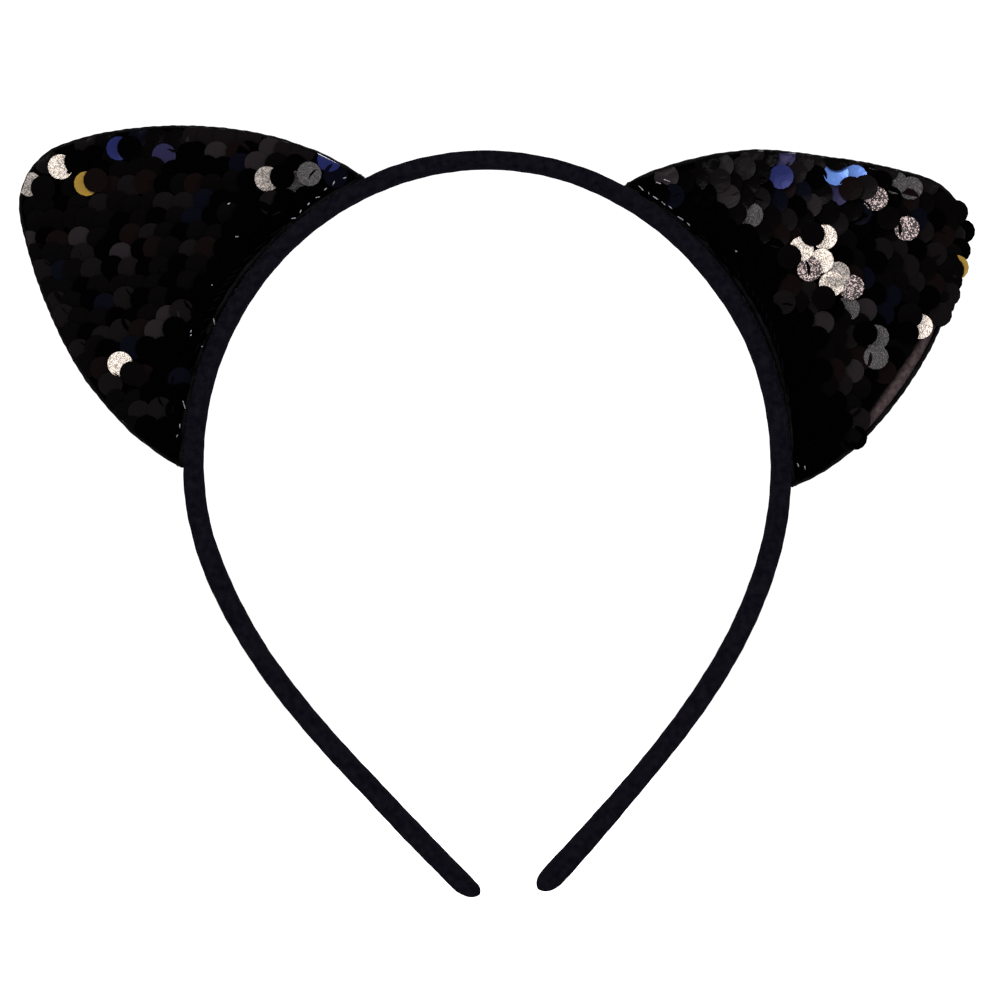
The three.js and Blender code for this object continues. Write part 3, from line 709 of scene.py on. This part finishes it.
def skin_height(name, face, u, v, spread=1.6 * MM):
    """Mean height of the face about each place, weighted by a bell of this spread."""
    pu, pv, pw = SKINS[name][face]
    near = np.exp(-((u[:, None] - pu) ** 2 + (v[:, None] - pv) ** 2) / spread ** 2)
    return (near @ pw + 1e-6 * PAD_RIM) / (near.sum(1) + 1e-6)


# %% [markdown]
# The pocket's free edge is turned in over the wire and hemmed, which leaves a thin rolled
# rim. It is a small oval section carried along the outline, flattened at its two ends.

# %% Ear rims
def oval_along(points, normals, binormals, radius_n, radius_b, sides):
    """A closed tube: at each point an oval in the plane of its normal and binormal."""
    a = np.linspace(0, 2 * np.pi, sides, endpoint=False)
    ring = (points[:, None] + normals[:, None] * (np.cos(a)[:, None] * radius_n[:, None, None])
            + binormals[:, None] * (np.sin(a)[:, None] * radius_b[:, None, None]))
    everything = np.vstack([ring.reshape(-1, 3), points[:1], points[-1:]])
    return everything, closed_faces(len(points), sides)


def edge_roll(ear, angle, thick_out, thick_deep, taper_steps):
    """An oval roll just inside the outline along these directions, thinner at its ends."""
    count = angle.size
    u, v = ear.at(angle, 1 - thick_out / np.interp(angle, DIRECTIONS, ear.reach))
    centre = ear.place(u, v, 0)
    t = unit(np.gradient(centre, axis=0))
    depth = np.broadcast_to(ear.front, centre.shape)
    step = np.arange(count)
    taper = 0.4 + 0.6 * smooth(np.minimum(step, step[::-1]) / taper_steps, 0, 1)
    ripple = 1 + 0.07 * np.sin(step * 0.9) + 0.05 * np.sin(step * 0.37)
    return oval_along(centre, np.cross(t, depth), depth, thick_out * taper * ripple,
                      thick_deep * taper, 14)


def corner_tacks(ear):
    """At each corner of the foot a short bar of close stitches ties hem and foot together: a
    spindle whose radius is a half sine, laid from the hem in to the foot."""
    t = np.linspace(0, 1, 14)
    for angle, turn in ((ear.foot.min(), 1), (ear.foot.max(), -1)):
        directions = angle + turn * np.radians(np.linspace(-2.5, 7, t.size))
        reach = np.interp((directions + np.pi) % (2 * np.pi) - np.pi, DIRECTIONS, ear.reach)
        centre = ear.place(*ear.at(directions, 1 - 0.95 * MM / reach), 0)
        along = unit(np.gradient(centre, axis=0))
        depth = np.broadcast_to(ear.front, centre.shape)
        swell_out = 0.25 + 0.75 * np.sin(np.pi * t) ** 0.5
        yield oval_along(centre, np.cross(along, depth), depth, 0.95 * MM * swell_out,
                         1.5 * MM * swell_out, 12)


for name, ear in EARS.items():
    # from one foot corner over the tip to the other
    angle = np.linspace(ear.foot.max(), ear.foot.min() + 2 * np.pi, 420)
    angle = (angle + np.pi) % (2 * np.pi) - np.pi
    foot = np.linspace(ear.foot.min(), ear.foot.max(), 260)
    parts = [edge_roll(ear, angle, 0.55 * MM, 1.15 * MM, 10),
             edge_roll(ear, foot, 0.9 * MM, 1.3 * MM, 2), *corner_tacks(ear)]
    rim = make_piece(f"{name}_ear_rim", *joined(parts), rim_knit)
    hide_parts(f"{name}_ear_binding")
    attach(rim, f"{name}_ear")

# %% [markdown]
# ## Sequins
# The discs are threaded on in offset rows. Each is fixed at its edge nearest the hoop and its
# free end lies over the next row outwards, like scales. One small cupped disc of a few dozen
# faces is copied to every place at once with numpy: a tilt lifts its free end, a roll lays it
# over its neighbour, and small random turns make the rows look handled.

# %% One sequin
DISC_SIDES = 14
DISC_RADIUS, DISC_THICK, DISC_CUP = 2.6 * MM, 0.12 * MM, 0.17 * MM


def disc_shape(sides, rings):
    """A shallow cup: at radius r its height is the cup times (r / radius)^2. Rings give the
    share of the radius; the underside is the same, one thickness lower."""
    a = np.linspace(0, 2 * np.pi, sides, endpoint=False)
    share = np.array(rings)
    x = DISC_RADIUS * share[:, None] * np.cos(a)
    y = DISC_RADIUS * share[:, None] * np.sin(a)
    z = np.broadcast_to(DISC_CUP * share[:, None] ** 2, x.shape)
    top = np.stack([x, y, z], -1).reshape(-1, 3)
    low = np.stack([x[-1], y[-1], z[-1] - DISC_THICK], -1)
    points = np.vstack([top, low, [[0, 0, 0], [0, 0, -DISC_THICK]]])
    last = (len(rings) - 1) * sides + np.arange(sides)
    below = len(rings) * sides + np.arange(sides)
    side_wall = np.stack([last, below, np.roll(below, -1), np.roll(last, -1)], -1)
    faces = [grid_faces(len(rings), sides, wrap_columns=True), side_wall,
             fan(np.arange(sides), len(points) - 2)[:, ::-1], fan(below, len(points) - 1)]
    return points - [0, 0, DISC_CUP / 2], faces


DISC_POINTS, DISC_FACES = disc_shape(DISC_SIDES, [0.62, 1.0])
print("faces of one sequin", sum(len(f) for f in DISC_FACES))

# %% [markdown]
# Both faces of an ear are dealt the same way. The films are dealt mostly black, and near the
# hoop mostly the darkest, dull film, which is painted shade where the ear meets the hoop; the
# bright ones stand where they were brushed over. On the right ear some discs hang over the
# edge, and a strip of knit shows where the sequins have worn off the lower side.

# %% Laying out the sequins
ROW_STEP, COLUMN_STEP = 3.0 * MM, 4.05 * MM
HOLE_TO_MIDDLE = 2.3 * MM
BRIGHT_RAISED, LAPPING_RAISED = 0.60 * MM, 1.30 * MM
# no dealt disc's middle lies this near to a brushed one's, or to a chosen one's
BRUSHED_ROOM, CHOSEN_ROOM = 2.9 * MM, 2.1 * MM
TILT, ROLL = (8.8, 1.7), (4.4, 1.3)   # mean and spread in degrees
LIFT = 0.62 * MM
EAR_LEAN = math.radians(15)
# the blacks are dealt by a random number from 0 to 1: (above this, film)
DEALT = [(0.46, "dull"), (0.70, "brown"), (0.82, "charcoal"), (0.94, "ink")]
BRIGHT = {
    "left": [(4.5, 38.2, "gold"), (14.3, 36.4, "deep_blue"), (-1.8, 48.4, "pale"),
             (35.4, -2.4, "deep_blue"), (30.6, -0.4, "dark_glitter")],
    "right": [
        (-7.3, 15.4, "silver"), (-3.1, 17.9, "silver"), (-2.8, 14.9, "glitter"),
        (0.9, 19.6, "pale"), (4.7, 20.9, "glitter"), (-9.3, 34.1, "glitter"),
        (-0.7, 36.9, "glitter"), (-17.8, 29.3, "blue"), (-15.4, 32.4, "blue"),
        (-22.6, 18.8, "deep_blue"), (16.4, 20.6, "dark_glitter"), (20.0, 18.6, "dark_glitter"),
    ],
}
DIM = {
    "left": [
        (18.2, 33.2, "ink"), (17.2, 28.3, "violet"), (27.4, 0.8, "dark_glitter"),
        (33.0, 2.2, "grey"), (26.0, 11.5, "grey"), (30.2, 9.2, "grey"), (23.6, 17.0, "grey"),
        (-5.0, 22.8, "grey"), (-22.0, 19.0, "charcoal"), (-6.0, 33.0, "grey"),
        (-9.0, 30.0, "charcoal"), (-11.2, 10.6, "grey"), (-16.0, 9.0, "grey"),
        (-11.5, 41.5, "grey"), (-15.0, 37.0, "charcoal"), (2.0, 22.0, "charcoal"),
    ],
    "right": [
        (7.4, 17.6, "dark_glitter"), (-6.0, 43.0, "dark_glitter"), (-13.8, 28.9, "violet"),
        (-24.4, 21.6, "violet"), (-13.9, 35.6, "deep_blue"), (-17.0, 8.8, "dark_glitter"),
        (-34.0, -1.0, "grey"), (-21.0, 13.0, "charcoal"), (8.0, 12.2, "grey"),
        (-14.3, 23.0, "grey"), (11.0, 22.8, "grey"), (19.0, 12.0, "grey"),
        (-12.0, 40.2, "dark_glitter"), (-25.0, 7.5, "grey"),
    ],
}

# dark discs nearer the hoop that lap over the brushed ones and leave a crescent of each
LAPPING = {
    "left": [(7.3, 42.4, "dull"), (27.1, 4.0, "dull"), (-24.3, 9.3, "black"),
             (6.1, 36.8, "brown"), (-1.0, 45.4, "black"), (15.6, 34.4, "dull")],
    "right": [(18.6, 26.6, "dull"), (15.7, 28.9, "black"), (-8.9, 18.8, "black"),
              (-7.0, 12.3, "black"), (3.9, 14.6, "black"), (-20.6, 30.9, "black"),
              (-4.4, 34.4, "black"), (-12.4, 33.2, "charcoal"), (-13.6, 30.4, "brown"),
              (14.6, 18.8, "dull")],
}


def lay_out(name, face):
    """Offset rows inside the outline, a little astray and clear of the hoop. A row of the
    table returned is one disc: u, v, the number of its film, how far it is raised above the
    others, and 1 if it hangs loose over the edge."""
    ear = EARS[name]
    rows = np.arange(-16, 19)
    columns = np.arange(-12, 13)
    r, c = np.meshgrid(rows, columns, indexing="ij")
    u = ((c + 0.5 * (r % 2)) * COLUMN_STEP).ravel()
    v = (r * ROW_STEP + 0.4 * MM).ravel()
    u = u + rng.normal(0, 0.42 * MM, u.size)
    v = v + rng.normal(0, 0.38 * MM, v.size)
    share, off = ear.share(u, v), ear.off_hoop(u, v)
    keep = (share < 0.975) & (off > 1.2 * MM)
    bare = (worn_strip(name, u + 1.9 * MM, v) > 0.5) & (face > 0)
    u, v, off, share = (x[keep & ~bare] for x in (u, v, off, share))
    dice = rng.random(u.size)
    # near the hoop most discs get the darkest, dull film: painted shade where the ear meets the
    # hoop
    shade_near_hoop = off < 9 * MM
    film = np.full(u.size, FILM_NUMBER["black"])
    for above, kind in DEALT:
        film[dice > above] = FILM_NUMBER[kind]
    film[shade_near_hoop & (dice < 0.93)] = FILM_NUMBER["dull"]
    film[(share > 0.86) & ~shade_near_hoop & (dice > 0.45)] = FILM_NUMBER["charcoal"]
    return np.stack([u, v, film, 0 * u, 0 * u], -1)


def clear_round(discs, places, radius):
    """Take out the discs whose middles lie this near to any of the places."""
    return discs[np.hypot(*(discs[:, None, :2] - places).transpose(2, 0, 1)).min(1) > radius]


def set_chosen(name, discs):
    """Give the dealt discs nearest the dim places their films; swap others for the bright
    ones, which lie on top of the rest, and for those that lap over them."""
    for u, v, kind in DIM[name]:
        nearest = np.argmin(np.hypot(discs[:, 0] - u * MM, discs[:, 1] - v * MM))
        discs[nearest, 2] = FILM_NUMBER[kind]
    groups = (BRIGHT[name], BRIGHT_RAISED), (LAPPING[name], LAPPING_RAISED)
    chosen = np.array([(u * MM, v * MM, FILM_NUMBER[kind], raised, 0)
                       for group, raised in groups for u, v, kind in group])
    return np.vstack([clear_round(discs, chosen[:, :2], CHOSEN_ROOM), chosen])


def lay_discs(name, face, discs):
    """Copies the disc to every place. e1, e2 and n are each disc's own directions: the
    pocket's slope first, then its tilt, roll and turn. Points past the outline are drawn in
    to it, as discs caught in the hem are, unless they are marked loose. Above the foot they
    stop short by their height times the tangent of its lean."""
    ear = EARS[name]
    u, v, film, raised, loose = discs.T
    step = 0.8 * MM
    height = skin_height(name, face, u, v)
    slope_u = (skin_height(name, face, u + step, v) - height) / step
    slope_v = (skin_height(name, face, u, v + step) - height) / step
    edge = smooth(ear.share(u, v), 0.86, 0.98)
    stray = np.clip(rng.normal(size=(2, u.size)), -1.7, 1.7) * np.where(film < DARK_FILMS, 1, 0.3)
    tilt = np.radians(TILT[0] + TILT[1] * stray[0]) + np.arctan(slope_v) * (1 - edge)
    roll = np.radians(ROLL[0] + ROLL[1] * stray[1]) + np.arctan(slope_u) * (1 - edge)
    turn = rng.uniform(0, 2 * np.pi, u.size)
    zero = np.zeros_like(tilt)
    e1 = np.stack([np.cos(roll), zero, np.sin(roll)], -1)
    e2 = np.stack([-np.sin(roll) * np.sin(tilt), np.cos(tilt), np.cos(roll) * np.sin(tilt)], -1)
    n = np.cross(e1, e2)
    size = 1 + 0.02 * rng.normal(size=u.size)
    x = DISC_POINTS[:, 0][None] * size[:, None]
    y = DISC_POINTS[:, 1][None] * size[:, None]
    z = np.broadcast_to(DISC_POINTS[:, 2][None], x.shape)
    px = x * np.cos(turn)[:, None] - y * np.sin(turn)[:, None]
    py = x * np.sin(turn)[:, None] + y * np.cos(turn)[:, None]
    lift = np.maximum(height, 0.9 * MM) + LIFT + raised + rng.uniform(0, 0.04, u.size) * MM
    local = (np.stack([u, v, lift], -1)[:, None] + px[..., None] * e1[:, None]
             + py[..., None] * e2[:, None] + z[..., None] * n[:, None])
    share = ear.share(local[..., 0], local[..., 1])
    limit = np.where(loose > 0, 9.0, 0.985)[:, None] + 0 * share
    du, dv = local[..., 0] - EAR_MIDDLE[0], local[..., 1] - EAR_MIDDLE[1]
    toward = np.arctan2(dv, du)
    over_foot = (toward > ear.foot.min()) & (toward < ear.foot.max())
    clear = (0.32 * MM + math.tan(EAR_LEAN) * local[..., 2]) * share / np.hypot(du, dv)
    limit = np.where(over_foot, np.minimum(limit, 1 - clear), limit)
    pull = np.minimum(1, limit / np.maximum(share, 1e-6))
    local[..., :2] = EAR_MIDDLE + (local[..., :2] - EAR_MIDDLE) * pull[..., None]
    local[..., 2] -= 0.5 * MM * smooth(share, 0.9, 1.02) * (pull < 1)
    points = ear.place(local[..., 0], local[..., 1], face * local[..., 2]).reshape(-1, 3)
    turned = [block if face > 0 else block[:, ::-1] for block in DISC_FACES]
    faces = [copies(block, u.size, len(DISC_POINTS)) for block in turned]
    return points, faces, np.concatenate([np.repeat(film, len(block)) for block in turned])


def edge_discs(face):
    """The right ear's discs that hang over the edge from the tip to the worn strip. On the
    front one is gold and nearly hidden, and one hangs below the strip."""
    angle = [88, 80, 73, 66, 60, 54, 49, 44]
    share = [0.95, 0.965, 0.945, 0.96, 0.945, 0.955, 0.94, 0.95]
    kinds = rng.choice([FILM_NUMBER[k] for k in ("black", "charcoal", "dull")], 8).tolist()
    if face > 0:
        kinds[3] = FILM_NUMBER["gold"]
        angle, share = angle + [-17, 65], share + [0.945, 0.925]
        kinds += [FILM_NUMBER["dull"], FILM_NUMBER["black"]]
    raised = np.zeros(len(kinds))
    raised[8:] = [0, 0.25 * MM][:len(kinds) - 8]
    u, v = EARS["right"].at(np.radians(angle), np.array(share))
    return np.stack([u, v, kinds, raised, np.ones(len(kinds))], -1)


for name, ear in EARS.items():
    for face, label in ((1, "front"), (-1, "back")):
        discs = lay_out(name, face)
        if face > 0:
            holes = np.array([JOINTS[f"{name}_ear_sequin_flip_{i}"]["pos_m"] for i in (1, 2, 3)])
            u, v, _ = ear.local(holes)
            brushed = np.stack([u, v + HOLE_TO_MIDDLE], -1)
            print(name, "brushed sequins at", np.round(brushed / MM, 1).tolist())
            discs = set_chosen(name, clear_round(discs, brushed, BRUSHED_ROOM))
        if name == "right":
            discs = np.vstack([discs, edge_discs(face)])
        points, faces, slots = lay_discs(name, face, discs)
        sequins = make_piece(f"{name}_ear_{label}_sequin_rows", points, faces,
                             list(FILMS.values()), sharp=60)
        sequins.data.polygons.foreach_set("material_index", slots.astype(np.int32))
        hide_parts(f"{name}_ear_{label}_sequins")
        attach(sequins, f"{name}_ear")
        print(name, label, "has", len(discs), "sequins")

# %% [markdown]
# Six sequins that stand with their bright side out can be brushed back. Each swings on the
# thread through its hole, so each is its own piece: a rounder disc with its hole pierced at
# the hinge and a rolled edge.

# %% Brushed sequins
def pierced_disc(sides=40, rings=8, hole_radius=0.42 * MM, hole_at=-2.0 * MM):
    """Rings that run from the hole to the disc's edge: ring i is the circle whose centre and
    radius lie the share t of the way from the hole's to the disc's. Top, then underside."""
    t = np.linspace(0, 1, rings) ** 1.2
    a = np.linspace(0, 2 * np.pi, sides, endpoint=False)
    centre = hole_at * (1 - t)
    radius = hole_radius + (DISC_RADIUS - hole_radius) * t
    x = radius[:, None] * np.cos(a)
    y = centre[:, None] + radius[:, None] * np.sin(a)
    z = DISC_CUP * (x ** 2 + y ** 2) / DISC_RADIUS ** 2
    top = np.stack([x, y, z + DISC_THICK / 2], -1)
    low = np.stack([x, y, z - DISC_THICK / 2], -1)[::-1]
    points = np.concatenate([top, low]).reshape(-1, 3)
    return points, [grid_faces(2 * rings, sides, wrap_rows=True, wrap_columns=True)]


BRUSHED = {
    "left": {1: "silver", 2: "pale", 3: "silver"},
    "right": {1: "silver", 2: "silver", 3: "silver"},
}
for name, ear in EARS.items():
    for i, kind in BRUSHED[name].items():
        joint = JOINTS[f"{name}_ear_sequin_flip_{i}"]
        axis = np.array(joint["axis"]) / np.linalg.norm(joint["axis"])
        hole = np.array(joint["pos_m"]) - ear.seat
        u, v = np.array([hole @ ear.across]), np.array([hole @ ear.up + HOLE_TO_MIDDLE])
        middle = ear.place(u, v, skin_height(name, 1, u, v) + 0.80 * MM)[0]
        lean = math.radians(8)
        up = math.cos(lean) * ear.up + math.sin(lean) * ear.front
        up = up - axis * (up @ axis)
        up /= np.linalg.norm(up)
        out = np.cross(axis, up)
        shape, faces = pierced_disc()
        points = middle + shape[:, :1] * axis + shape[:, 1:2] * up + shape[:, 2:] * out
        disc = make_piece(f"{name}_ear_brushed_sequin_{i}", points, faces, FILMS[kind], sharp=50)
        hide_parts(f"{name}_ear_flipped_sequin_{i}")
        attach(disc, f"{name}_ear_flipped_sequin_{i}")

# %% [markdown]
# ## Thread and glue
# The ear is whip-stitched along its foot and then glued to the hoop's cover. The stitches are
# slanting loops of thread that go over the foot's edge; the glue is a thin uneven bead that
# squeezed out beside them and dried shiny.

# %% Whip stitches
def stitch_line(ear, face, angle, slant, count=26):
    """One loop: from a point up the face down over the foot's edge. Height follows the
    pocket and drops to the foot on a quarter wave; the higher it stands, the further it keeps
    from the hoop, so the ear can lean."""
    t = np.linspace(0, 1, count)
    r = np.interp(angle, DIRECTIONS, ear.reach)
    along = angle + slant * (t - 0.5) / r
    surface = PAD_RIM + PAD_CAP + 0.55 * MM
    w = surface * np.sqrt(np.maximum(1 - (t * 1.02) ** 6, 0)) + 0.1 * MM
    w = w - 0.6 * MM * (1 - smooth(t, 0, 0.18))
    share = 1 - (0.9 * MM + 0.5 * w + 1.0 * MM * (1 - t)) / r
    u, v = ear.at(along, share)
    return ear.place(u, v, face * w)


STITCHES, THREAD_RADIUS = 13, 0.11 * MM
# u, v and length of the glue drops, whose pale colour is a painted glint
GLINT_GLUE_DROPS = {   # u, v and length in mm
    "left": [(11.5, 5.6, 0.8), (0.1, 4.8, 0.9), (-6.1, 0.5, 1.6), (-11.1, 3.1, 0.9),
             (-11.9, -0.1, 0.8), (-10.4, 3.5, 0.7), (-24.3, -3.3, 2.6), (-28.5, -4.8, 1.0),
             (-30.6, -5.4, 0.9), (21.0, -2.4, 1.1), (23.0, -2.9, 1.4), (25.2, -3.5, 1.3),
             (27.4, -4.4, 1.2), (29.7, -4.9, 1.5), (31.7, -5.7, 1.3), (33.8, -7.1, 1.0),
             (16.5, 10.6, 0.9)],
    "right": [(-34.3, -8.1, 1.5), (-32.9, -7.2, 1.4), (-31.1, -6.4, 2.0), (-29.3, -5.5, 1.6),
              (-27.9, -4.6, 1.2), (-24.9, -3.8, 2.0), (-23.0, -2.9, 1.4), (-33.6, -4.4, 1.8),
              (-33.2, -2.6, 2.0), (-13.3, 3.2, 0.9), (32.3, -6.3, 1.8), (33.5, -5.3, 1.0),
              (28.8, -6.2, 0.8)],
}


def glue_drops(ear, rings=5, sides=8):
    """Flattened spheres of glue, long along the foot: each is a ball of unit radius scaled to half
    the drop's length, 0.13 mm and 0.14 mm, on top of the sequins. Their pale colour is a painted
    glint."""
    u, v, length = np.array(GLINT_GLUE_DROPS[ear.name]).T * MM
    lat = np.linspace(-np.pi / 2, np.pi / 2, rings + 2)[1:-1, None]
    lon = -np.linspace(0, 2 * np.pi, sides, endpoint=False)
    ball = np.stack([np.cos(lat) * np.cos(lon), np.cos(lat) * np.sin(lon),
                     np.sin(lat) + 0 * lon], -1).reshape(-1, 3)
    ball = np.vstack([ball, [[0, 0, -1], [0, 0, 1]]])
    slope = rng.uniform(-0.6, 0.6, u.size)[:, None] - 0.35 * np.sign(u)[:, None]
    length = length * rng.uniform(0.5, 1.0, u.size)
    a, b = ball[:, 0] * length[:, None] / 2, ball[:, 1] * 0.13 * MM
    height = np.maximum(skin_height(ear.name, 1, u, v), 0.9 * MM)[:, None] + 1.0 * MM
    points = ear.place(u[:, None] + a * np.cos(slope) - b * np.sin(slope),
                       v[:, None] + a * np.sin(slope) + b * np.cos(slope),
                       height + ball[:, 2] * 0.14 * MM + 0 * a).reshape(-1, 3)
    return points, [copies(block, u.size, len(ball)) for block in closed_faces(rings, sides)]


for name, ear in EARS.items():
    for face, label in ((1, "front"), (-1, "back")):
        angles = np.linspace(ear.foot.min() + 0.14, ear.foot.max() - 0.14, STITCHES)
        angles = angles + rng.normal(0, 0.012, angles.size)
        parts = []
        for angle in angles:
            line = stitch_line(ear, face, angle, rng.uniform(1.6, 2.6) * MM)
            t = unit(np.gradient(line, axis=0))
            side = unit(np.cross(t, np.broadcast_to(ear.across, t.shape)))
            radius = np.full(len(line), THREAD_RADIUS)
            radius[[0, -1]] *= 0.4
            parts.append(oval_along(line, np.cross(t, side), side, radius, radius, 8))
        sewn = sum(len(block) for _, faces in parts for block in faces)
        # on the front the glue drops join the stitches; their pale colour is a painted glint
        if face > 0:
            parts.append(glue_drops(ear))
        thread = make_piece(f"{name}_ear_{label}_whip_stitches", *joined(parts),
                            [sewing_thread, glint_glue_drop])
        slots = np.arange(len(thread.data.polygons)) >= sewn
        thread.data.polygons.foreach_set("material_index", slots.astype(np.int32))
        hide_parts(f"{name}_ear_{label}_stitches")
        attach(thread, f"{name}_ear")

# %% Glue beads
def glue_bead(ear, along=240, across=26):
    """A low ridge on the hoop's outer surface: at (a, b) its height is a rounded plateau in b
    times an uneven wave in a, and its edges wander the same way."""
    side = 1 if ear.seat[0] > 0 else -1
    middle = math.atan2(ear.up[2], abs(ear.up[0]))
    reach = 0.55
    a = np.linspace(middle - reach, middle + reach, along)[:, None]
    b = np.linspace(-1, 1, across)[None]
    wave = 0.5 * np.sin(a * 61) + 0.3 * np.sin(a * 143 + 1) + 0.35 * np.sin(a * 223 + b * 2.2)
    ends = smooth(reach - np.abs(a - middle), 0, 0.05)
    width = (2.55 + 0.35 * wave) * MM
    ridges = np.sqrt(np.maximum(1 - b ** 4, 0)) * smooth(np.abs(b), 0.25, 0.6)
    height = (0.09 + (0.28 + 0.12 * wave) * ends * ridges) * MM
    e = eccentric(a)
    half = (THICK_TOP + (THICK_SIDE - THICK_TOP) * np.cos(a) ** 2) / 2

    def surface(off):
        r = half + off
        x = side * (HOOP_HALF_WIDTH * np.cos(e) + r * np.cos(a)) + 0 * b
        z = HOOP_CENTRE + HOOP_RISE * np.sin(e) + r * np.sin(a) + 0 * b
        return np.stack([x, width * b, z], -1)
    top, low = surface(height), surface(0.03 * MM + 0 * b)
    rings = np.concatenate([top, low[:, ::-1]], 1)
    points = np.vstack([rings.reshape(-1, 3), rings[0].mean(0)[None], rings[-1].mean(0)[None]])
    faces = closed_faces(along, 2 * across)
    return points, faces if side < 0 else [f[:, ::-1] for f in faces]


for name, ear in EARS.items():
    bead = make_piece(f"{name}_ear_glue_line", *glue_bead(ear), dried_glue)
    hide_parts(f"{name}_ear_glue_bead")
    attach(bead, "crown")

# %% [markdown]
# Some frame parts stay as they are, out of sight: the springy plastic strip inside the cover
# and the steel wire in each ear's hem. They only need their own finish.

# %% Frame parts that stay
KEPT = {"crown_core": hoop_plastic, "left_leg_core": hoop_plastic,
        "right_leg_core": hoop_plastic, "left_ear_edge_wire": drawn_wire,
        "right_ear_edge_wire": drawn_wire}
for node, material in KEPT.items():
    part = frame["nodes"][node]
    part.data.materials.clear()
    part.data.materials.append(material)
print("kept", list(KEPT))

# %% [markdown]
# ## Studio
# The headband hangs free before plain white. Broad soft lights above and beside it draw the
# edges of the discs without washing out the black, and a white floor well below the tips
# gives light back from underneath.

# %% Floor, light and camera
floor_white = new_finish("floor_white", (0.9, 0.9, 0.9), 0.9, Specular_IOR_Level=0.1)
mottle(floor_white, (0.89, 0.89, 0.89), (0.91, 0.91, 0.91), 3)
span = 6.0
corners = np.array([[-span, -span], [span, -span], [span, span], [-span, span]])
floor = make_piece("studio_floor", np.c_[corners, np.full(4, -0.215)], [[[0, 1, 2, 3]]],
                   floor_white)

world = bpy.data.worlds.new("studio")
world.use_nodes = True
world.node_tree.nodes["Background"].inputs["Color"].default_value = (1, 1, 1, 1)
world.node_tree.nodes["Background"].inputs["Strength"].default_value = 1.15
bpy.context.scene.world = world


def soft_light(name, place, target, size, power):
    """A square area light turned towards a point."""
    light = bpy.data.lights.new(name, "AREA")
    light.shape, light.size, light.energy = "SQUARE", size, power
    lamp = bpy.data.objects.new(name, light)
    bpy.context.scene.collection.objects.link(lamp)
    lamp.location = place
    lamp.rotation_euler = (Vector(target) - Vector(place)).to_track_quat("-Z", "Y").to_euler()
    return lamp


soft_light("key", (-0.55, -0.75, 0.55), (0, 0, -0.05), 0.35, 9)
soft_light("fill", (0.8, -0.6, 0.25), (0, 0, -0.05), 0.5, 6)
soft_light("spark", (-0.25, -0.9, 0.45), (0, 0, -0.03), 0.05, 1.6)
soft_light("back", (0.2, 0.9, 0.7), (0, 0, -0.05), 0.6, 8)

camera = bpy.data.objects.new("camera", bpy.data.cameras.new("camera"))
bpy.context.scene.collection.objects.link(camera)
camera.data.lens, camera.data.sensor_width = 120, 36
camera.location = (0.00273, -0.700, -0.0695)
camera.rotation_euler = (math.pi / 2, 0, 0)
camera.data.clip_end = 50
bpy.context.scene.camera = camera
bpy.context.scene.view_settings.view_transform = "Standard"
